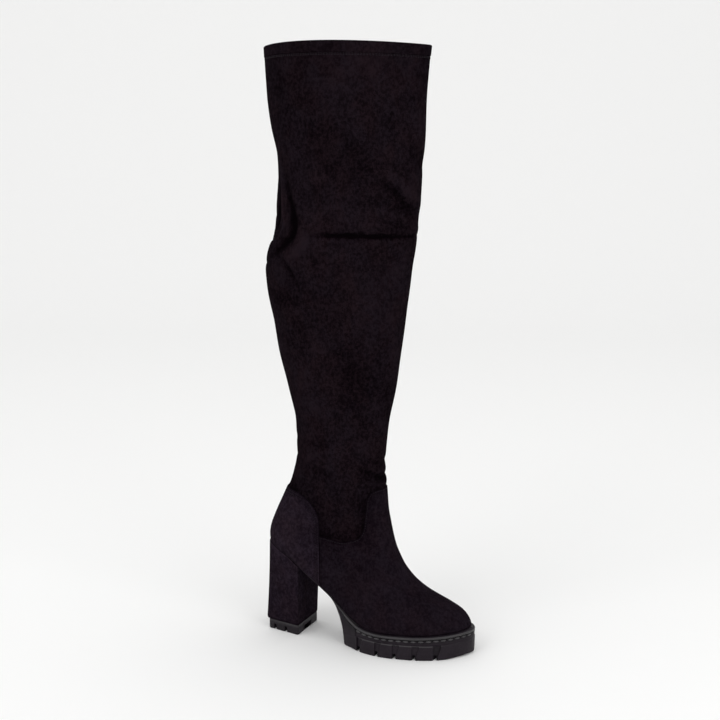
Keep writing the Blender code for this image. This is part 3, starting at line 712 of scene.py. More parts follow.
class Paint(Graph):
    """The node tree of one material."""

    def __init__(self, name: str) -> None:
        """Makes an empty material."""
        self.material = bpy.data.materials.new(name)
        self.material.use_nodes = True
        super().__init__(self.material.node_tree)
        self.tree.nodes.clear()
        self.place = self.out("ShaderNodeTexCoord", output="Object")

    def mapped(self, scale: tuple[float, float, float]) -> Signal:
        """Returns the object's coordinates stretched by a scale."""
        return self.out("ShaderNodeMapping", {"vector_type": "POINT"}, {"Vector": self.place, "Scale": scale})

    def noise(self, scale: float, detail: float = 3.0, roughness: float = 0.55, distortion: float = 0.0,
              place: Signal | None = None) -> Signal:
        """Adds a noise texture.

        Args:
            scale: Features in a metre.
            detail: Octaves.
            roughness: Weight of the small ones.
            distortion: How far it is warped.
            place: Coordinates, or None for the object's own.

        Returns:
            The noise, about 0.5.
        """
        return self.out("ShaderNodeTexNoise", None, {
            "Vector": place or self.place, "Scale": scale, "Detail": detail, "Roughness": roughness,
            "Distortion": distortion})

    def field(self, name: str) -> Signal:
        """Returns a value kept at each vertex."""
        return self.out("ShaderNodeAttribute", {"attribute_name": name}, output="Fac")

    def blend(self, factor: Signal | float, low: Any, high: Any) -> Signal:
        """Mixes two colours or Signals, 0 for low and 1 for high."""
        colours = [(*c, 1.0) if isinstance(c, tuple) else c for c in (low, high)]
        return self.out("ShaderNodeMix", {"data_type": "RGBA"}, {0: factor, 6: colours[0], 7: colours[1]}, 2)

    def bump(self, height: Signal, distance: float, strength: float, normal: Signal | None = None) -> Signal:
        """Adds a bump.

        Args:
            height: The height.
            distance: What a height of 1 stands for, in metres.
            strength: How much of it shows.
            normal: A bump beneath this one.

        Returns:
            The normal.
        """
        inputs: dict[int | str, Any] = {"Height": height, "Distance": distance, "Strength": strength}
        if normal:
            inputs["Normal"] = normal
        return self.out("ShaderNodeBump", None, inputs)

    def finish(self, **sockets: Any) -> Material:
        """Adds the shader and the output.

        Args:
            sockets: Values or Signals of the shader's inputs, with underscores for spaces.

        Returns:
            The material.
        """
        inputs = {}
        for name, value in sockets.items():
            colour = isinstance(value, tuple) and len(value) == 3
            inputs[name.replace("_", " ")] = (*value, 1.0) if colour else value
        shader = self.node("ShaderNodeBsdfPrincipled", None, inputs)
        self.node("ShaderNodeOutputMaterial", None, {"Surface": shader.outputs[0]})
        return self.material


@dataclass(frozen=True)
class Microsuede:
    """Brushed microsuede: soft patches where the nap lies differently, over a fine short pile."""

    name: str
    # deep takes the nap's darkest patches and the painted shade, raised its lightest patches and the painted
    # highlight.
    deep: Colour
    raised: Colour
    warm: Colour
    patch: float = 0.5
    pile: float = 0.00035
    sheen: float = 0.014

    def material(self) -> Material:
        """Paints the cloth. It reads each vertex's painted shading: a painted highlight on ridges and rims,
        painted shade in creases, hollows, stitch rows and along edges.

        Returns:
            The material.
        """
        paint = Paint(self.name)
        broad = paint.noise(16.0, 4.0, 0.6, 0.6)
        medium = paint.noise(62.0, 5.0, 0.65, 0.3)
        brushed = paint.noise(310.0, 4.0, 0.75, 0.0, paint.mapped((1.0, 1.0, 0.85)))
        pile = paint.noise(1500.0, 3.0, 0.7)
        # Painted shading kept at each vertex: painted shade under zero, painted highlight over zero.
        fold = paint.field("fold")
        mottle = broad.ramp(0.38, 0.66) * self.patch + medium.ramp(0.34, 0.70) * (1.0 - self.patch)
        speck = brushed.ramp(0.39, 0.62) * 0.65 + pile.ramp(0.38, 0.64) * 0.35
        # The nap's own mottle and specks, plus the painted shading.
        light = mottle * 0.34 + speck * 0.66 + fold
        tint = paint.noise(38.0, 3.0, 0.6, 0.4, paint.mapped((1.0, 1.0, 0.7))).ramp(0.36, 0.66)
        raised = paint.blend(tint, self.raised, self.warm)
        colour = paint.blend(light.ramp(-0.15, 1.0), self.deep, raised)
        low = paint.bump(medium, 0.0009, 0.35)
        mid = paint.bump(brushed, 0.0005, 0.45, low)
        top = paint.bump(pile, self.pile, 0.6, mid)
        return paint.finish(Base_Color=colour, Roughness=0.96 - speck * 0.10, Normal=top,
                            Specular_IOR_Level=0.0, Sheen_Weight=self.sheen, Sheen_Roughness=0.42,
                            Sheen_Tint=(0.80, 0.70, 0.78))


@dataclass(frozen=True)
class SoleRubber:
    """Moulded rubber with a fine grain, with painted highlights and painted shade along its edges."""

    name: str
    dark: Colour
    light: Colour
    grain: float
    roughness: float
    shine: float
    # The colour of the painted highlights on rims and edges.
    rubbed: Colour = (0.046, 0.043, 0.046)
    ribs: bool = False
    rib_pitch: float = 0.0017

    def material(self) -> Material:
        """Paints the rubber.

        It reads the piece's "edge" values, a painted highlight over zero and painted shade under zero. With ribs
        it reads "around" and "ribbed" too.

        Returns:
            The material.
        """
        paint = Paint(self.name)
        cloud = paint.noise(45.0, 4.0, 0.6, 0.2)
        dust = paint.noise(420.0, 3.0, 0.65)
        grain = paint.noise(2400.0, 2.0, 0.6)
        shade = cloud.ramp(0.30, 0.72) * 0.6 + dust.ramp(0.35, 0.75) * 0.4
        painted_edge_shading = paint.field("edge")
        colour = paint.blend(shade, self.dark, self.light)
        # Painted highlight over zero, painted shade in a darker copy of the rubber under zero.
        colour = paint.blend(painted_edge_shading.ramp(0.0, 1.0), colour, self.rubbed)
        colour = paint.blend(painted_edge_shading.ramp(0.0, -1.0), colour, tuple(0.22 * c for c in self.dark))
        normal = paint.bump(grain, self.grain, 0.8)
        normal = paint.bump(dust, 0.00012, 0.35, normal)
        if self.ribs:
            turns = paint.field("around") * (math.tau / self.rib_pitch)
            wave = paint.out("ShaderNodeMath", {"operation": "SINE"}, {0: turns})
            normal = paint.bump(wave * paint.field("ribbed"), 0.00012, 0.45, normal)
        return paint.finish(Base_Color=colour, Roughness=dust * 0.22 + (self.roughness - 0.08), Normal=normal,
                            Specular_IOR_Level=self.shine)


@dataclass(frozen=True)
class Knit:
    """The lining and the insole's sock: a close knit with rows of small stitches."""

    name: str
    dark: Colour
    light: Colour
    rows: float = 900.0

    def material(self) -> Material:
        """Paints the knit.

        Returns:
            The material.
        """
        paint = Paint(self.name)
        weave = paint.out("ShaderNodeTexWave", {"wave_type": "BANDS", "bands_direction": "Z"}, {
            "Vector": paint.place, "Scale": self.rows / math.tau, "Distortion": 1.4, "Detail": 2.0,
            "Detail Scale": 3.0}, "Fac")
        cloud = paint.noise(70.0, 4.0, 0.6)
        fuzz = paint.noise(1300.0, 3.0, 0.65)
        colour = paint.blend(weave * 0.4 + cloud.ramp(0.3, 0.7) * 0.35 + fuzz * 0.25, self.dark, self.light)
        normal = paint.bump(weave, 0.00018, 0.5, paint.bump(fuzz, 0.0002, 0.5))
        return paint.finish(Base_Color=colour, Roughness=0.93 - fuzz * 0.06, Normal=normal, Sheen_Weight=0.15,
                            Sheen_Roughness=0.5)


@dataclass(frozen=True)
class Thread:
    """Twisted sewing thread, a shade lighter than the cloth."""

    name: str
    dark: Colour
    light: Colour

    def material(self) -> Material:
        """Paints the thread.

        Returns:
            The material.
        """
        paint = Paint(self.name)
        fibre = paint.noise(1800.0, 2.0, 0.6, 0.4)
        colour = paint.blend(fibre.ramp(0.3, 0.7), self.dark, self.light)
        return paint.finish(Base_Color=colour, Roughness=0.72 - fibre * 0.12,
                            Normal=paint.bump(fibre, 0.0001, 0.6), Specular_IOR_Level=0.04, Sheen_Weight=0.02,
                            Sheen_Roughness=0.4)


@dataclass(frozen=True)
class StudioPaper:
    """Plain pale studio paper."""

    name: str = "studio_paper"
    colour: Colour = (0.955, 0.955, 0.95)

    def material(self) -> Material:
        """Paints the paper.

        Returns:
            The material.
        """
        paint = Paint(self.name)
        tooth = paint.noise(260.0, 3.0, 0.6)
        pale = tuple(c * 0.99 for c in self.colour)
        return paint.finish(Base_Color=paint.blend(tooth, pale, self.colour), Roughness=0.92,
                            Normal=paint.bump(tooth, 0.0001, 0.1), Specular_IOR_Level=0.0)


@dataclass(frozen=True)
class Wardrobe:
    """The finishes of the whole boot."""

    shaft: Material
    panel: Material
    cover: Material
    rubber: Material
    bead: Material
    dash: Material
    tip: Material
    thread: Material
    knit: Material

    @classmethod
    def make(cls) -> Wardrobe:
        """Makes every finish once.

        Returns:
            The finishes.
        """
        return cls(
            shaft=Microsuede("shaft_microsuede", (0.0020, 0.0011, 0.0017), (0.0113, 0.0077, 0.0107),
                             (0.0124, 0.0074, 0.0097), 0.24, sheen=0.006).material(),
            # The panel finish is a lighter copy of the shaft's microsuede: painted light for the panels, which
            # catch more light.
            panel=Microsuede("panel_microsuede", (0.0034, 0.0020, 0.0033), (0.0132, 0.0095, 0.0136),
                             (0.0142, 0.0090, 0.0124), 0.34).material(),
            cover=Microsuede("heel_cover_microsuede", (0.0052, 0.0032, 0.0054), (0.0218, 0.0154, 0.0230),
                             (0.0212, 0.0138, 0.0192), 0.34).material(),
            rubber=SoleRubber("sole_rubber", (0.0088, 0.0056, 0.0090), (0.0170, 0.0122, 0.0172),
                              0.00007, 0.50, 0.15, ribs=True).material(),
            # The bead's rubber is a lighter copy of the sole rubber, a painted highlight; the dashes' rubber is
            # lighter again, a painted highlight that lifts them out of the bead's shade.
            bead=SoleRubber("welt_rubber", (0.020, 0.0180, 0.020), (0.036, 0.033, 0.036), 0.00003, 0.34,
                            0.30).material(),
            dash=SoleRubber("moulded_dash_rubber", (0.036, 0.033, 0.036), (0.060, 0.056, 0.060), 0.00003, 0.40,
                            0.30).material(),
            tip=SoleRubber("top_piece_rubber", (0.0088, 0.0066, 0.0090), (0.0160, 0.0124, 0.0164),
                           0.00006, 0.46, 0.15).material(),
            thread=Thread("panel_thread", (0.0066, 0.0048, 0.0066), (0.0160, 0.0122, 0.0160)).material(),
            knit=Knit("insole_lining", (0.008, 0.0065, 0.0075), (0.024, 0.020, 0.022)).material(),
        )


# Creases


@dataclass(frozen=True)
class Crease:
    """A crease pressed into the shaft. A depth under zero is a ridge."""

    points: tuple[CreasePoint, ...]
    width: float
    swell: float = 0.0
    reach: float = 8.0
    drop: float = 0.0
    # How strongly the crease's painted shade and painted highlight show; 0 paints none.
    tone: float = 1.0

    SAMPLES = 110
    # Painted shade in a hollow and painted highlight on a ridge, for each millimetre of depth.
    HOLLOW_SHADE = -0.27
    RIDGE_SHADE = -0.19

    def press(self, skin: Skin) -> tuple[Array, Array]:
        """Finds how far each point of the skin moves in, and the light or shade painted there.

        Args:
            skin: The shaft before any crease.

        Returns:
            The depth at each point of the grid, in metres, and the painted shading there: painted shade under
            zero in a hollow, a painted highlight over zero on a ridge.
        """
        line = np.array(self.points, float)
        run = lengths(line[:, :2])
        fine = np.linspace(0, run[-1], self.SAMPLES)
        angle, height, _ = through(line, run, fine).T
        depth = np.interp(fine, run, line[:, 2])
        spots = skin.on_shaft(np.radians(angle), height * MM)
        margin = 4 * max(self.width, self.reach if self.swell else 0.0) * MM
        low, high = spots.min(axis=0) - margin, spots.max(axis=0) + margin
        near = np.all((skin.points > low) & (skin.points < high), axis=2)
        away = skin.points[near][:, None, :] - spots[None, :, :]
        distance = np.linalg.norm(away, axis=2)
        closest = np.argmin(distance, axis=1)
        pick = np.arange(len(closest))
        gap = distance[pick, closest] / MM
        side = np.where(away[pick, closest, 2] > 0, 1.0 + self.drop, 1.0 - self.drop)
        taper = 0.45 + 0.55 * np.abs(depth) / np.abs(depth).max()
        trough = np.exp(-(gap / (self.width * taper[closest])) ** 2)
        raised = self.swell * np.exp(-((gap - self.reach) / (0.6 * self.reach)) ** 2) * side
        moved, shade = np.zeros(skin.points.shape[:2]), np.zeros(skin.points.shape[:2])
        moved[near] = depth[closest] * (trough - raised) * MM
        # Painted shade spreads a little wider than the hollow; a ridge gets a painted highlight.
        spread = 1.45 if self.tone <= 1 else 1.1
        wide = np.exp(-(gap / (spread * self.width * taper[closest])) ** 2)
        tone = np.where(depth[closest] > 0, self.HOLLOW_SHADE * wide, self.RIDGE_SHADE * trough)
        shade[near] = self.tone * tone * depth[closest]
        return moved, shade


def crease(*points: tuple[float, float, float], width: float, swell: float = 0.0, reach: float = 8.0,
           drop: float = 0.0, tone: float = 1.0) -> Crease:
    """Returns a crease through points of angle, height and depth, in degrees and millimetres."""
    return Crease(tuple(CreasePoint(*point) for point in points), width, swell, reach, drop, tone)


CREASES = [
    # The sharp fold across the knee, over the outer side and the front
    crease((64, 448, 0.0), (76, 450, 0.7), (88, 451.5, 1.7), (104, 452, 2.0), (122, 451.5, 2.0),
           (138, 451, 1.9), (155, 450.5, 1.2), (168, 450.5, 1.1), (182, 450.5, 0.7), (198, 450, 0.6),
           (215, 450, 0.5), (240, 452, 0.0), width=2.1, swell=0.46, reach=7.0, drop=0.85, tone=1.8),
    # The long ridge and the hollow behind the knee on the outer side
    crease((20, 630, 0.0), (25, 608, -0.9), (33, 584, -1.2), (37, 558, -1.0), (35, 527, -1.2), (36, 500, -1.8),
           (41, 474, -2.3), (44, 460, -2.3), (38, 449, -1.7), (28, 438, 0.0), width=1.9, tone=1.25),
    crease((38, 534, 0.0), (41, 515, 0.6), (46, 499, 1.6), (52, 481, 3.1), (58, 463, 4.0), (57, 450, 3.9),
           (50, 439, 3.0), (40, 429, 1.5), (30, 422, 0.0), width=3.7, swell=0.16, reach=10.0),
    crease((18, 526, 0.0), (25, 507, 0.9), (30, 486, 1.4), (33, 466, 1.4), (29, 456, 0.8), (23, 448, 0.0),
           width=2.5, tone=1.9),
    crease((62, 462, 0.0), (68, 452, -1.0), (72, 442, -1.5), (66, 430, -1.0), (58, 424, 0.0), width=6.5,
           tone=1.7),
    # Folds across the back of the knee
    crease((-42, 458, 0.0), (-22, 449, 1.5), (0, 444, 1.7), (18, 440, 1.1), (36, 431, 0.0), width=2.8,
           swell=0.25, reach=8.0),
    crease((-38, 430, 0.0), (-12, 424, 1.4), (10, 419, 1.6), (30, 413, 0.0), width=3.0, swell=0.3, reach=9.0),
    crease((-34, 486, 0.0), (-10, 479, 1.2), (10, 473, 1.3), (27, 462, 0.0), width=3.0, swell=0.3, reach=9.0),
    # Soft folds at the front, over the knee
    crease((122, 524, 0.0), (134, 515, -1.2), (146, 506, -1.7), (157, 497, -1.8), (176, 487, -1.5),
           (192, 480, 0.0), width=5.0),
    crease((128, 508, 0.0), (141, 498, 0.9), (153, 487, 1.2), (170, 475, 0.8), (190, 466, 0.0), width=4.5),
    crease((134, 480, 0.0), (144, 474, -0.8), (157, 468, -1.2), (174, 460, -1.0), (190, 455, 0.0), width=3.6),
    crease((150, 560, 0.0), (168, 540, 0.9), (190, 524, 1.0), (214, 512, 0.0), width=8.0),
    # Creases on the calf under the knee
    crease((42, 431, 0.0), (54, 423, 1.3), (63, 414, 1.4), (71, 400, 0.8), (76, 390, 0.0), width=2.4, swell=0.6,
           reach=5.5, drop=0.5, tone=1.3),
    crease((62, 436, 0.0), (78, 428, 0.8), (96, 424, 0.7), (112, 424, 0.0), width=4.0),
    crease((20, 398, 0.0), (40, 386, 0.8), (60, 380, 0.8), (80, 380, 0.0), width=6.0),
    crease((95, 360, 0.0), (110, 330, 0.7), (120, 300, 0.7), (124, 270, 0.0), width=9.0),
    crease((60, 330, 0.0), (70, 300, -0.7), (78, 270, -0.8), (84, 245, 0.0), width=9.0),
    # Wrinkles where the ankle bends
    crease((110, 203, 0.0), (128, 201, 0.9), (145, 196, 1.5), (163, 190, 2.3), (180, 187, 2.8), (197, 190, 2.2),
           (214, 195, 1.1), (234, 199, 0.0), width=2.6, swell=0.45, reach=6.0, tone=0.7),
    crease((116, 219, 0.0), (136, 213, 0.6), (158, 207, 0.7), (180, 205, 0.5), (200, 207, 0.6), (222, 213, 0.0),
           width=3.2, swell=0.4, reach=7.0),
    crease((40, 203, 0.0), (56, 199, 0.8), (73, 197, 0.9), (90, 194, 0.5), (104, 192, 0.0), width=3.2,
           swell=0.3, reach=7.0),
    crease((38, 192, 0.0), (50, 203, -0.8), (62, 211, -1.2), (76, 216, -1.0), (92, 218, 0.0), width=3.0),
    crease((46, 226, 0.0), (62, 224, 0.7), (80, 222, 0.7), (98, 220, 0.0), width=4.2),
    crease((-36, 214, 0.0), (-14, 209, 0.9), (6, 207, 0.9), (26, 206, 0.0), width=3.4),
    crease((-50, 232, 0.0), (-20, 226, 0.8), (14, 226, 0.7), (34, 232, 0.0), width=4.5),
    # The inner side
    crease((322, 540, 0.0), (316, 510, 1.4), (308, 482, 2.4), (303, 462, 2.6), (310, 446, 2.0), (322, 434, 0.0),
           width=4.0, swell=0.3, reach=10.0),
    crease((246, 452, 0.0), (262, 450, 1.3), (282, 446, 1.6), (300, 440, 1.0), (312, 434, 0.0), width=2.4,
           swell=0.35, reach=7.0),
    crease((236, 524, 0.0), (222, 506, -1.1), (206, 488, -1.3), (190, 474, 0.0), width=7.0),
    crease((300, 404, 0.0), (285, 392, 0.9), (268, 384, 0.9), (250, 382, 0.0), width=5.0),
    crease((250, 216, 0.0), (270, 211, 0.8), (290, 209, 0.9), (312, 213, 0.0), width=4.0),
    crease((232, 203, 0.0), (252, 198, 0.8), (274, 195, 0.8), (296, 199, 0.0), width=3.4),
    # Broad fullness of the loose cloth: behind the thigh, the knee and the ankle, and over the instep
    crease((13, 650, -1.9), (14, 625, -2.1), (15, 590, -2.0), (15, 560, -1.1), (15, 535, 0.0),
           width=20.0, tone=0.0),
    crease((15, 508, 0.0), (15, 490, -1.9), (15, 450, -2.6), (15, 410, -2.1), (15, 385, -1.2), (15, 355, 0.0),
           width=20.0, tone=0.0),
    crease((12, 252, 0.0), (12, 236, -1.6), (12, 222, -2.4), (13, 204, -2.4), (14, 190, -1.8), (14, 174, 0.0),
           width=14.0, tone=0.0),
    crease((198, 205, 0.0), (198, 190, -1.1), (197, 172, -1.9), (195, 155, -2.4), (193, 138, -2.2),
           (191, 122, -1.2), (189, 106, 0.0), width=14.0, tone=0.0),
    crease((188, 100, 0.0), (187, 88, 1.3), (186, 76, 0.0), width=11.0, tone=0.0),
]


class Skin:
    """The outside of foot and shaft as a dense grid: rows climb from the sole line, columns run round."""

    COLUMNS = 232
    SPACING = 0.00205
    WAVES = (Wave(0.40, 2, 31, 0.6), Wave(0.30, 3, -47, 2.1), Wave(0.22, 5, 73, 4.0), Wave(0.16, 7, -96, 1.3))
    SLACK_FROM, SLACK_OVER = 0.20, 0.08
    # Painted shade for each millimetre the loose cloth dips in, and painted highlight where it swells out.
    SLACK_SHADE = 0.14
    EDGE_REACH = 0.03
    EDGE_SHADES = ((0.20, 0.004), (0.17, 0.018))

    def __init__(self, last: Last) -> None:
        """Lays the grid through the last's loops, then presses the creases into it.

        Args:
            last: The last.
        """
        self.angles = np.linspace(0, math.tau, self.COLUMNS, endpoint=False)
        knots = np.stack([last.fan_loop(loop, self.angles) for loop in FAN]
                         + [last.leg_loop(ring, self.angles) for ring in LEG])
        chord = np.linalg.norm(np.diff(knots, axis=0), axis=2).mean(axis=1)
        places = np.concatenate([[0.0], np.cumsum(chord)])
        self.places = np.linspace(0, places[-1], int(places[-1] / self.SPACING))
        self.points = through(knots, places, self.places)
        self.ankle = float(places[len(FAN)])
        pressed = [one.press(self) for one in CREASES]
        slack = self._slack()
        depth = sum(moved for moved, _ in pressed) + slack
        # Painted shading: the creases' painted shade and highlight, and the loose cloth's painted shade in its
        # dents and highlight on its swells.
        self.shade = sum(shade for _, shade in pressed) - self.SLACK_SHADE * slack / MM
        self.points = self.points - self._normals(self.points) * depth[:, :, None]
        self.normals = self._normals(self.points)

    def _slack(self) -> Array:
        """Finds the slow unevenness of the loose cloth.

        Returns:
            How far each point moves in, in metres, 0 on the foot.
        """
        angle = self.angles[None, :]
        height = self.points[:, :, 2]
        fade = smoothstep((height - self.SLACK_FROM) / self.SLACK_OVER)
        wave = sum(one.height * np.sin(one.turns * angle + one.climb * height + one.phase) for one in self.WAVES)
        return wave * fade * MM

    @staticmethod
    def _normals(points: Array) -> Array:
        """Finds the outward directions of a grid.

        Args:
            points: Its points.

        Returns:
            One direction for each.
        """
        around = np.roll(points, -1, axis=1) - np.roll(points, 1, axis=1)
        up = np.gradient(points, axis=0)
        return unit(np.cross(around, up))

    def darken(self, line: Array) -> None:
        """Lays a soft shade on the cloth along a panel's edge.

        Args:
            line: Points along the edge.
        """
        low, high = line.min(axis=0) - self.EDGE_REACH, line.max(axis=0) + self.EDGE_REACH
        near = np.all((self.points > low) & (self.points < high), axis=2)
        away = np.linalg.norm(self.points[near][:, None] - line[None, ::2], axis=2).min(axis=1)
        self.shade[near] -= sum(shade * np.exp(-away / over) for shade, over in self.EDGE_SHADES)

    def on_shaft(self, angles: Array, heights: Array) -> Array:
        """Finds points of the shaft.

        Args:
            angles: Angles round it, in radians.
            heights: Heights.

        Returns:
            One point for each.
        """
        found = []
        start = int(np.searchsorted(self.places, 0.25 * self.ankle))
        for angle, height in zip(angles, heights):
            column = (angle / math.tau * self.COLUMNS) % self.COLUMNS
            first, share = int(column), column % 1.0
            line = self.points[:, first] * (1 - share) + self.points[:, (first + 1) % self.COLUMNS] * share
            line = line[start:]
            found.append([np.interp(height, line[:, 2], line[:, k]) for k in range(3)])
        return np.array(found)

    def sample(self, grid: Array, rows: Array, columns: Array) -> Array:
        """Reads a grid between its points.

        Args:
            grid: Values at each row and column.
            rows: Rows, with fractions.
            columns: Columns, with fractions, on any turn round the shaft.

        Returns:
            The values.
        """
        rows = np.clip(rows, 0, len(self.places) - 1 - TINY)
        r = np.floor(rows).astype(int)
        c = np.floor(columns).astype(int)
        t = (rows - r)[..., None]
        s = (columns - c)[..., None]
        c0, c1 = c % self.COLUMNS, (c + 1) % self.COLUMNS
        data = grid if grid.ndim == 3 else grid[:, :, None]
        value = ((data[r, c0] * (1 - s) + data[r, c1] * s) * (1 - t)
                 + (data[r + 1, c0] * (1 - s) + data[r + 1, c1] * s) * t)
        return value if grid.ndim == 3 else value[..., 0]

    def place(self, spots: Array) -> Array:
        """Returns the skin's points at rows and columns, the last axis of spots."""
        return self.sample(self.points, spots[..., 0], spots[..., 1])

    def facing(self, spots: Array) -> Array:
        """Returns the skin's outward directions at rows and columns, the last axis of spots."""
        return unit(self.sample(self.normals, spots[..., 0], spots[..., 1]))

    def around(self, row: float, column: float) -> Array:
        """Returns the point at a row and column, then those half a row and half a column either way."""
        steps = np.array([[0.0, 0.0], [0.5, 0.0], [-0.5, 0.0], [0.0, 0.5], [0.0, -0.5]])
        return self.place(np.array([row, column]) + steps)

    def locate(self, x: float, z: float, inner: bool) -> tuple[float, float]:
        """Finds where one side of the boot shows a place of the side view.

        Args:
            x: The place's x.
            z: Its height.
            inner: Whether the inner side is meant.

        Returns:
            Row and column. The column is counted from the back, negative on the inner side.
        """
        half = self.COLUMNS // 2
        columns = np.arange(-half, 1) if inner else np.arange(0, half + 1)
        low = self.points[:, columns % self.COLUMNS]
        flat = (low[:, :, 0] - x) ** 2 + (low[:, :, 2] - z) ** 2
        r, c = np.unravel_index(int(np.argmin(flat)), flat.shape)
        row, column = float(r), float(columns[c])
        for _ in range(6):
            at = self.around(row, column)[:, [0, 2]]
            slope = np.stack([at[1] - at[2], at[3] - at[4]], 1)
            step = np.linalg.lstsq(slope, np.array([x, z]) - at[0], rcond=0.02)[0]
            row = float(np.clip(row + np.clip(step[0], -3, 3), 0, len(self.places) - 2))
            column = float(np.clip(column + np.clip(step[1], -3, 3), columns[0], columns[-1]))
        return row, column

    def climb(self, z: float, front: bool) -> float:
        """Returns the row at a height on the middle line of the front or the back."""
        line = self.points[:, self.COLUMNS // 2 if front else 0, 2]
        return float(np.interp(z, line, np.arange(len(line))))


# Sewn rows


class Stitcher:
    """Repeats a small rounded stitch or dash along a line, by Geometry Nodes."""

    NORMAL = "sew_normal"

    def __init__(self) -> None:
        """Builds the tree once."""
        self.tree = bpy.data.node_groups.new("stitch_row", "GeometryNodeTree")
        face = self.tree.interface
        face.new_socket("Geometry", in_out="INPUT", socket_type="NodeSocketGeometry")
        face.new_socket("Geometry", in_out="OUTPUT", socket_type="NodeSocketGeometry")
        for name in ("Pitch", "Length", "Width", "Height", "Unevenness"):
            face.new_socket(name, in_out="INPUT", socket_type="NodeSocketFloat")
        face.new_socket("Finish", in_out="INPUT", socket_type="NodeSocketMaterial")
        self.keys = {item.name: item.identifier for item in face.items_tree if item.in_out == "INPUT"}
        graph = Graph(self.tree)
        given = graph.node("NodeGroupInput").outputs
        line = graph.out("GeometryNodeMeshToCurve", None, {"Mesh": given["Geometry"]})
        spaced = graph.out("GeometryNodeResampleCurve", {"mode": "LENGTH"},
                           {"Curve": line, "Length": given["Pitch"]})
        kept = graph.node("GeometryNodeInputNamedAttribute", {"data_type": "FLOAT_VECTOR"},
                          {"Name": self.NORMAL})
        tangent = graph.out("GeometryNodeInputTangent")
        along = graph.out("FunctionNodeAlignRotationToVector", {"axis": "X"}, {"Vector": tangent})
        turned = graph.out("FunctionNodeAlignRotationToVector", {"axis": "Z", "pivot_axis": "X"},
                           {"Rotation": along, "Vector": kept.outputs["Attribute"]})
        bead = graph.out("GeometryNodeMeshUVSphere", None, {"Segments": 8, "Rings": 6, "Radius": 0.5})
        low = graph.out("FunctionNodeRandomValue", {"data_type": "FLOAT"}, {"Seed": 11}, 1)
        length = Signal(graph, given["Length"])
        uneven = (low - 0.5) * Signal(graph, given["Unevenness"]) * length + length
        size = graph.out("ShaderNodeCombineXYZ", None,
                         {"X": uneven, "Y": given["Width"], "Z": given["Height"]})
        placed = graph.out("GeometryNodeInstanceOnPoints", None, {
            "Points": spaced, "Instance": bead, "Rotation": turned, "Scale": size})
        real = graph.out("GeometryNodeRealizeInstances", None, {"Geometry": placed})
        shaded = graph.out("GeometryNodeSetMaterial", None, {"Geometry": real, "Material": given["Finish"]})
        graph.node("NodeGroupOutput", None, {0: shaded})

    def sew(self, name: str, lines: Sequence[tuple[Array, Array]], finish: Material, pitch: float,
            length: float, width: float, height: float, uneven: float = 0.12) -> Object:
        """Makes one piece of rows of stitches.

        Args:
            name: The piece's name.
            lines: Points and outward directions of each row.
            finish: The thread's material.
            pitch: From one stitch to the next.
            length: Of a stitch.
            width: Of a stitch.
            height: Of a stitch.
            uneven: How much their lengths differ.

        Returns:
            The piece, a plain mesh.
        """
        points = np.concatenate([line for line, _ in lines])
        normals = np.concatenate([normal for _, normal in lines])
        edges, start = [], 0
        for line, _ in lines:
            edges += [(start + k, start + k + 1) for k in range(len(line) - 1)]
            start += len(line)
        guide = bpy.data.meshes.new(name + "_guide")
        guide.from_pydata(points.tolist(), edges, [])
        layer = guide.attributes.new(self.NORMAL, "FLOAT_VECTOR", "POINT")
        layer.data.foreach_set("vector", normals.astype(np.float32).ravel())
        guided = bpy.data.objects.new(name + "_guide", guide)
        bpy.context.scene.collection.objects.link(guided)
        modifier = guided.modifiers.new("stitch_row", "NODES")
        modifier.node_group = self.tree
        values = {"Pitch": pitch, "Length": length, "Width": width, "Height": height, "Unevenness": uneven,
                  "Finish": finish}
        for key, value in values.items():
            modifier[self.keys[key]] = value
        guided.update_tag()
        graph = bpy.context.evaluated_depsgraph_get()
        mesh = bpy.data.meshes.new_from_object(guided.evaluated_get(graph), depsgraph=graph)
        bpy.data.objects.remove(guided, do_unlink=True)
        mesh.name = name
        mesh.shade_smooth()
        if not mesh.materials:
            mesh.materials.append(finish)
        made = bpy.data.objects.new(name, mesh)
        bpy.context.scene.collection.objects.link(made)
        return made


# Sub-assemblies


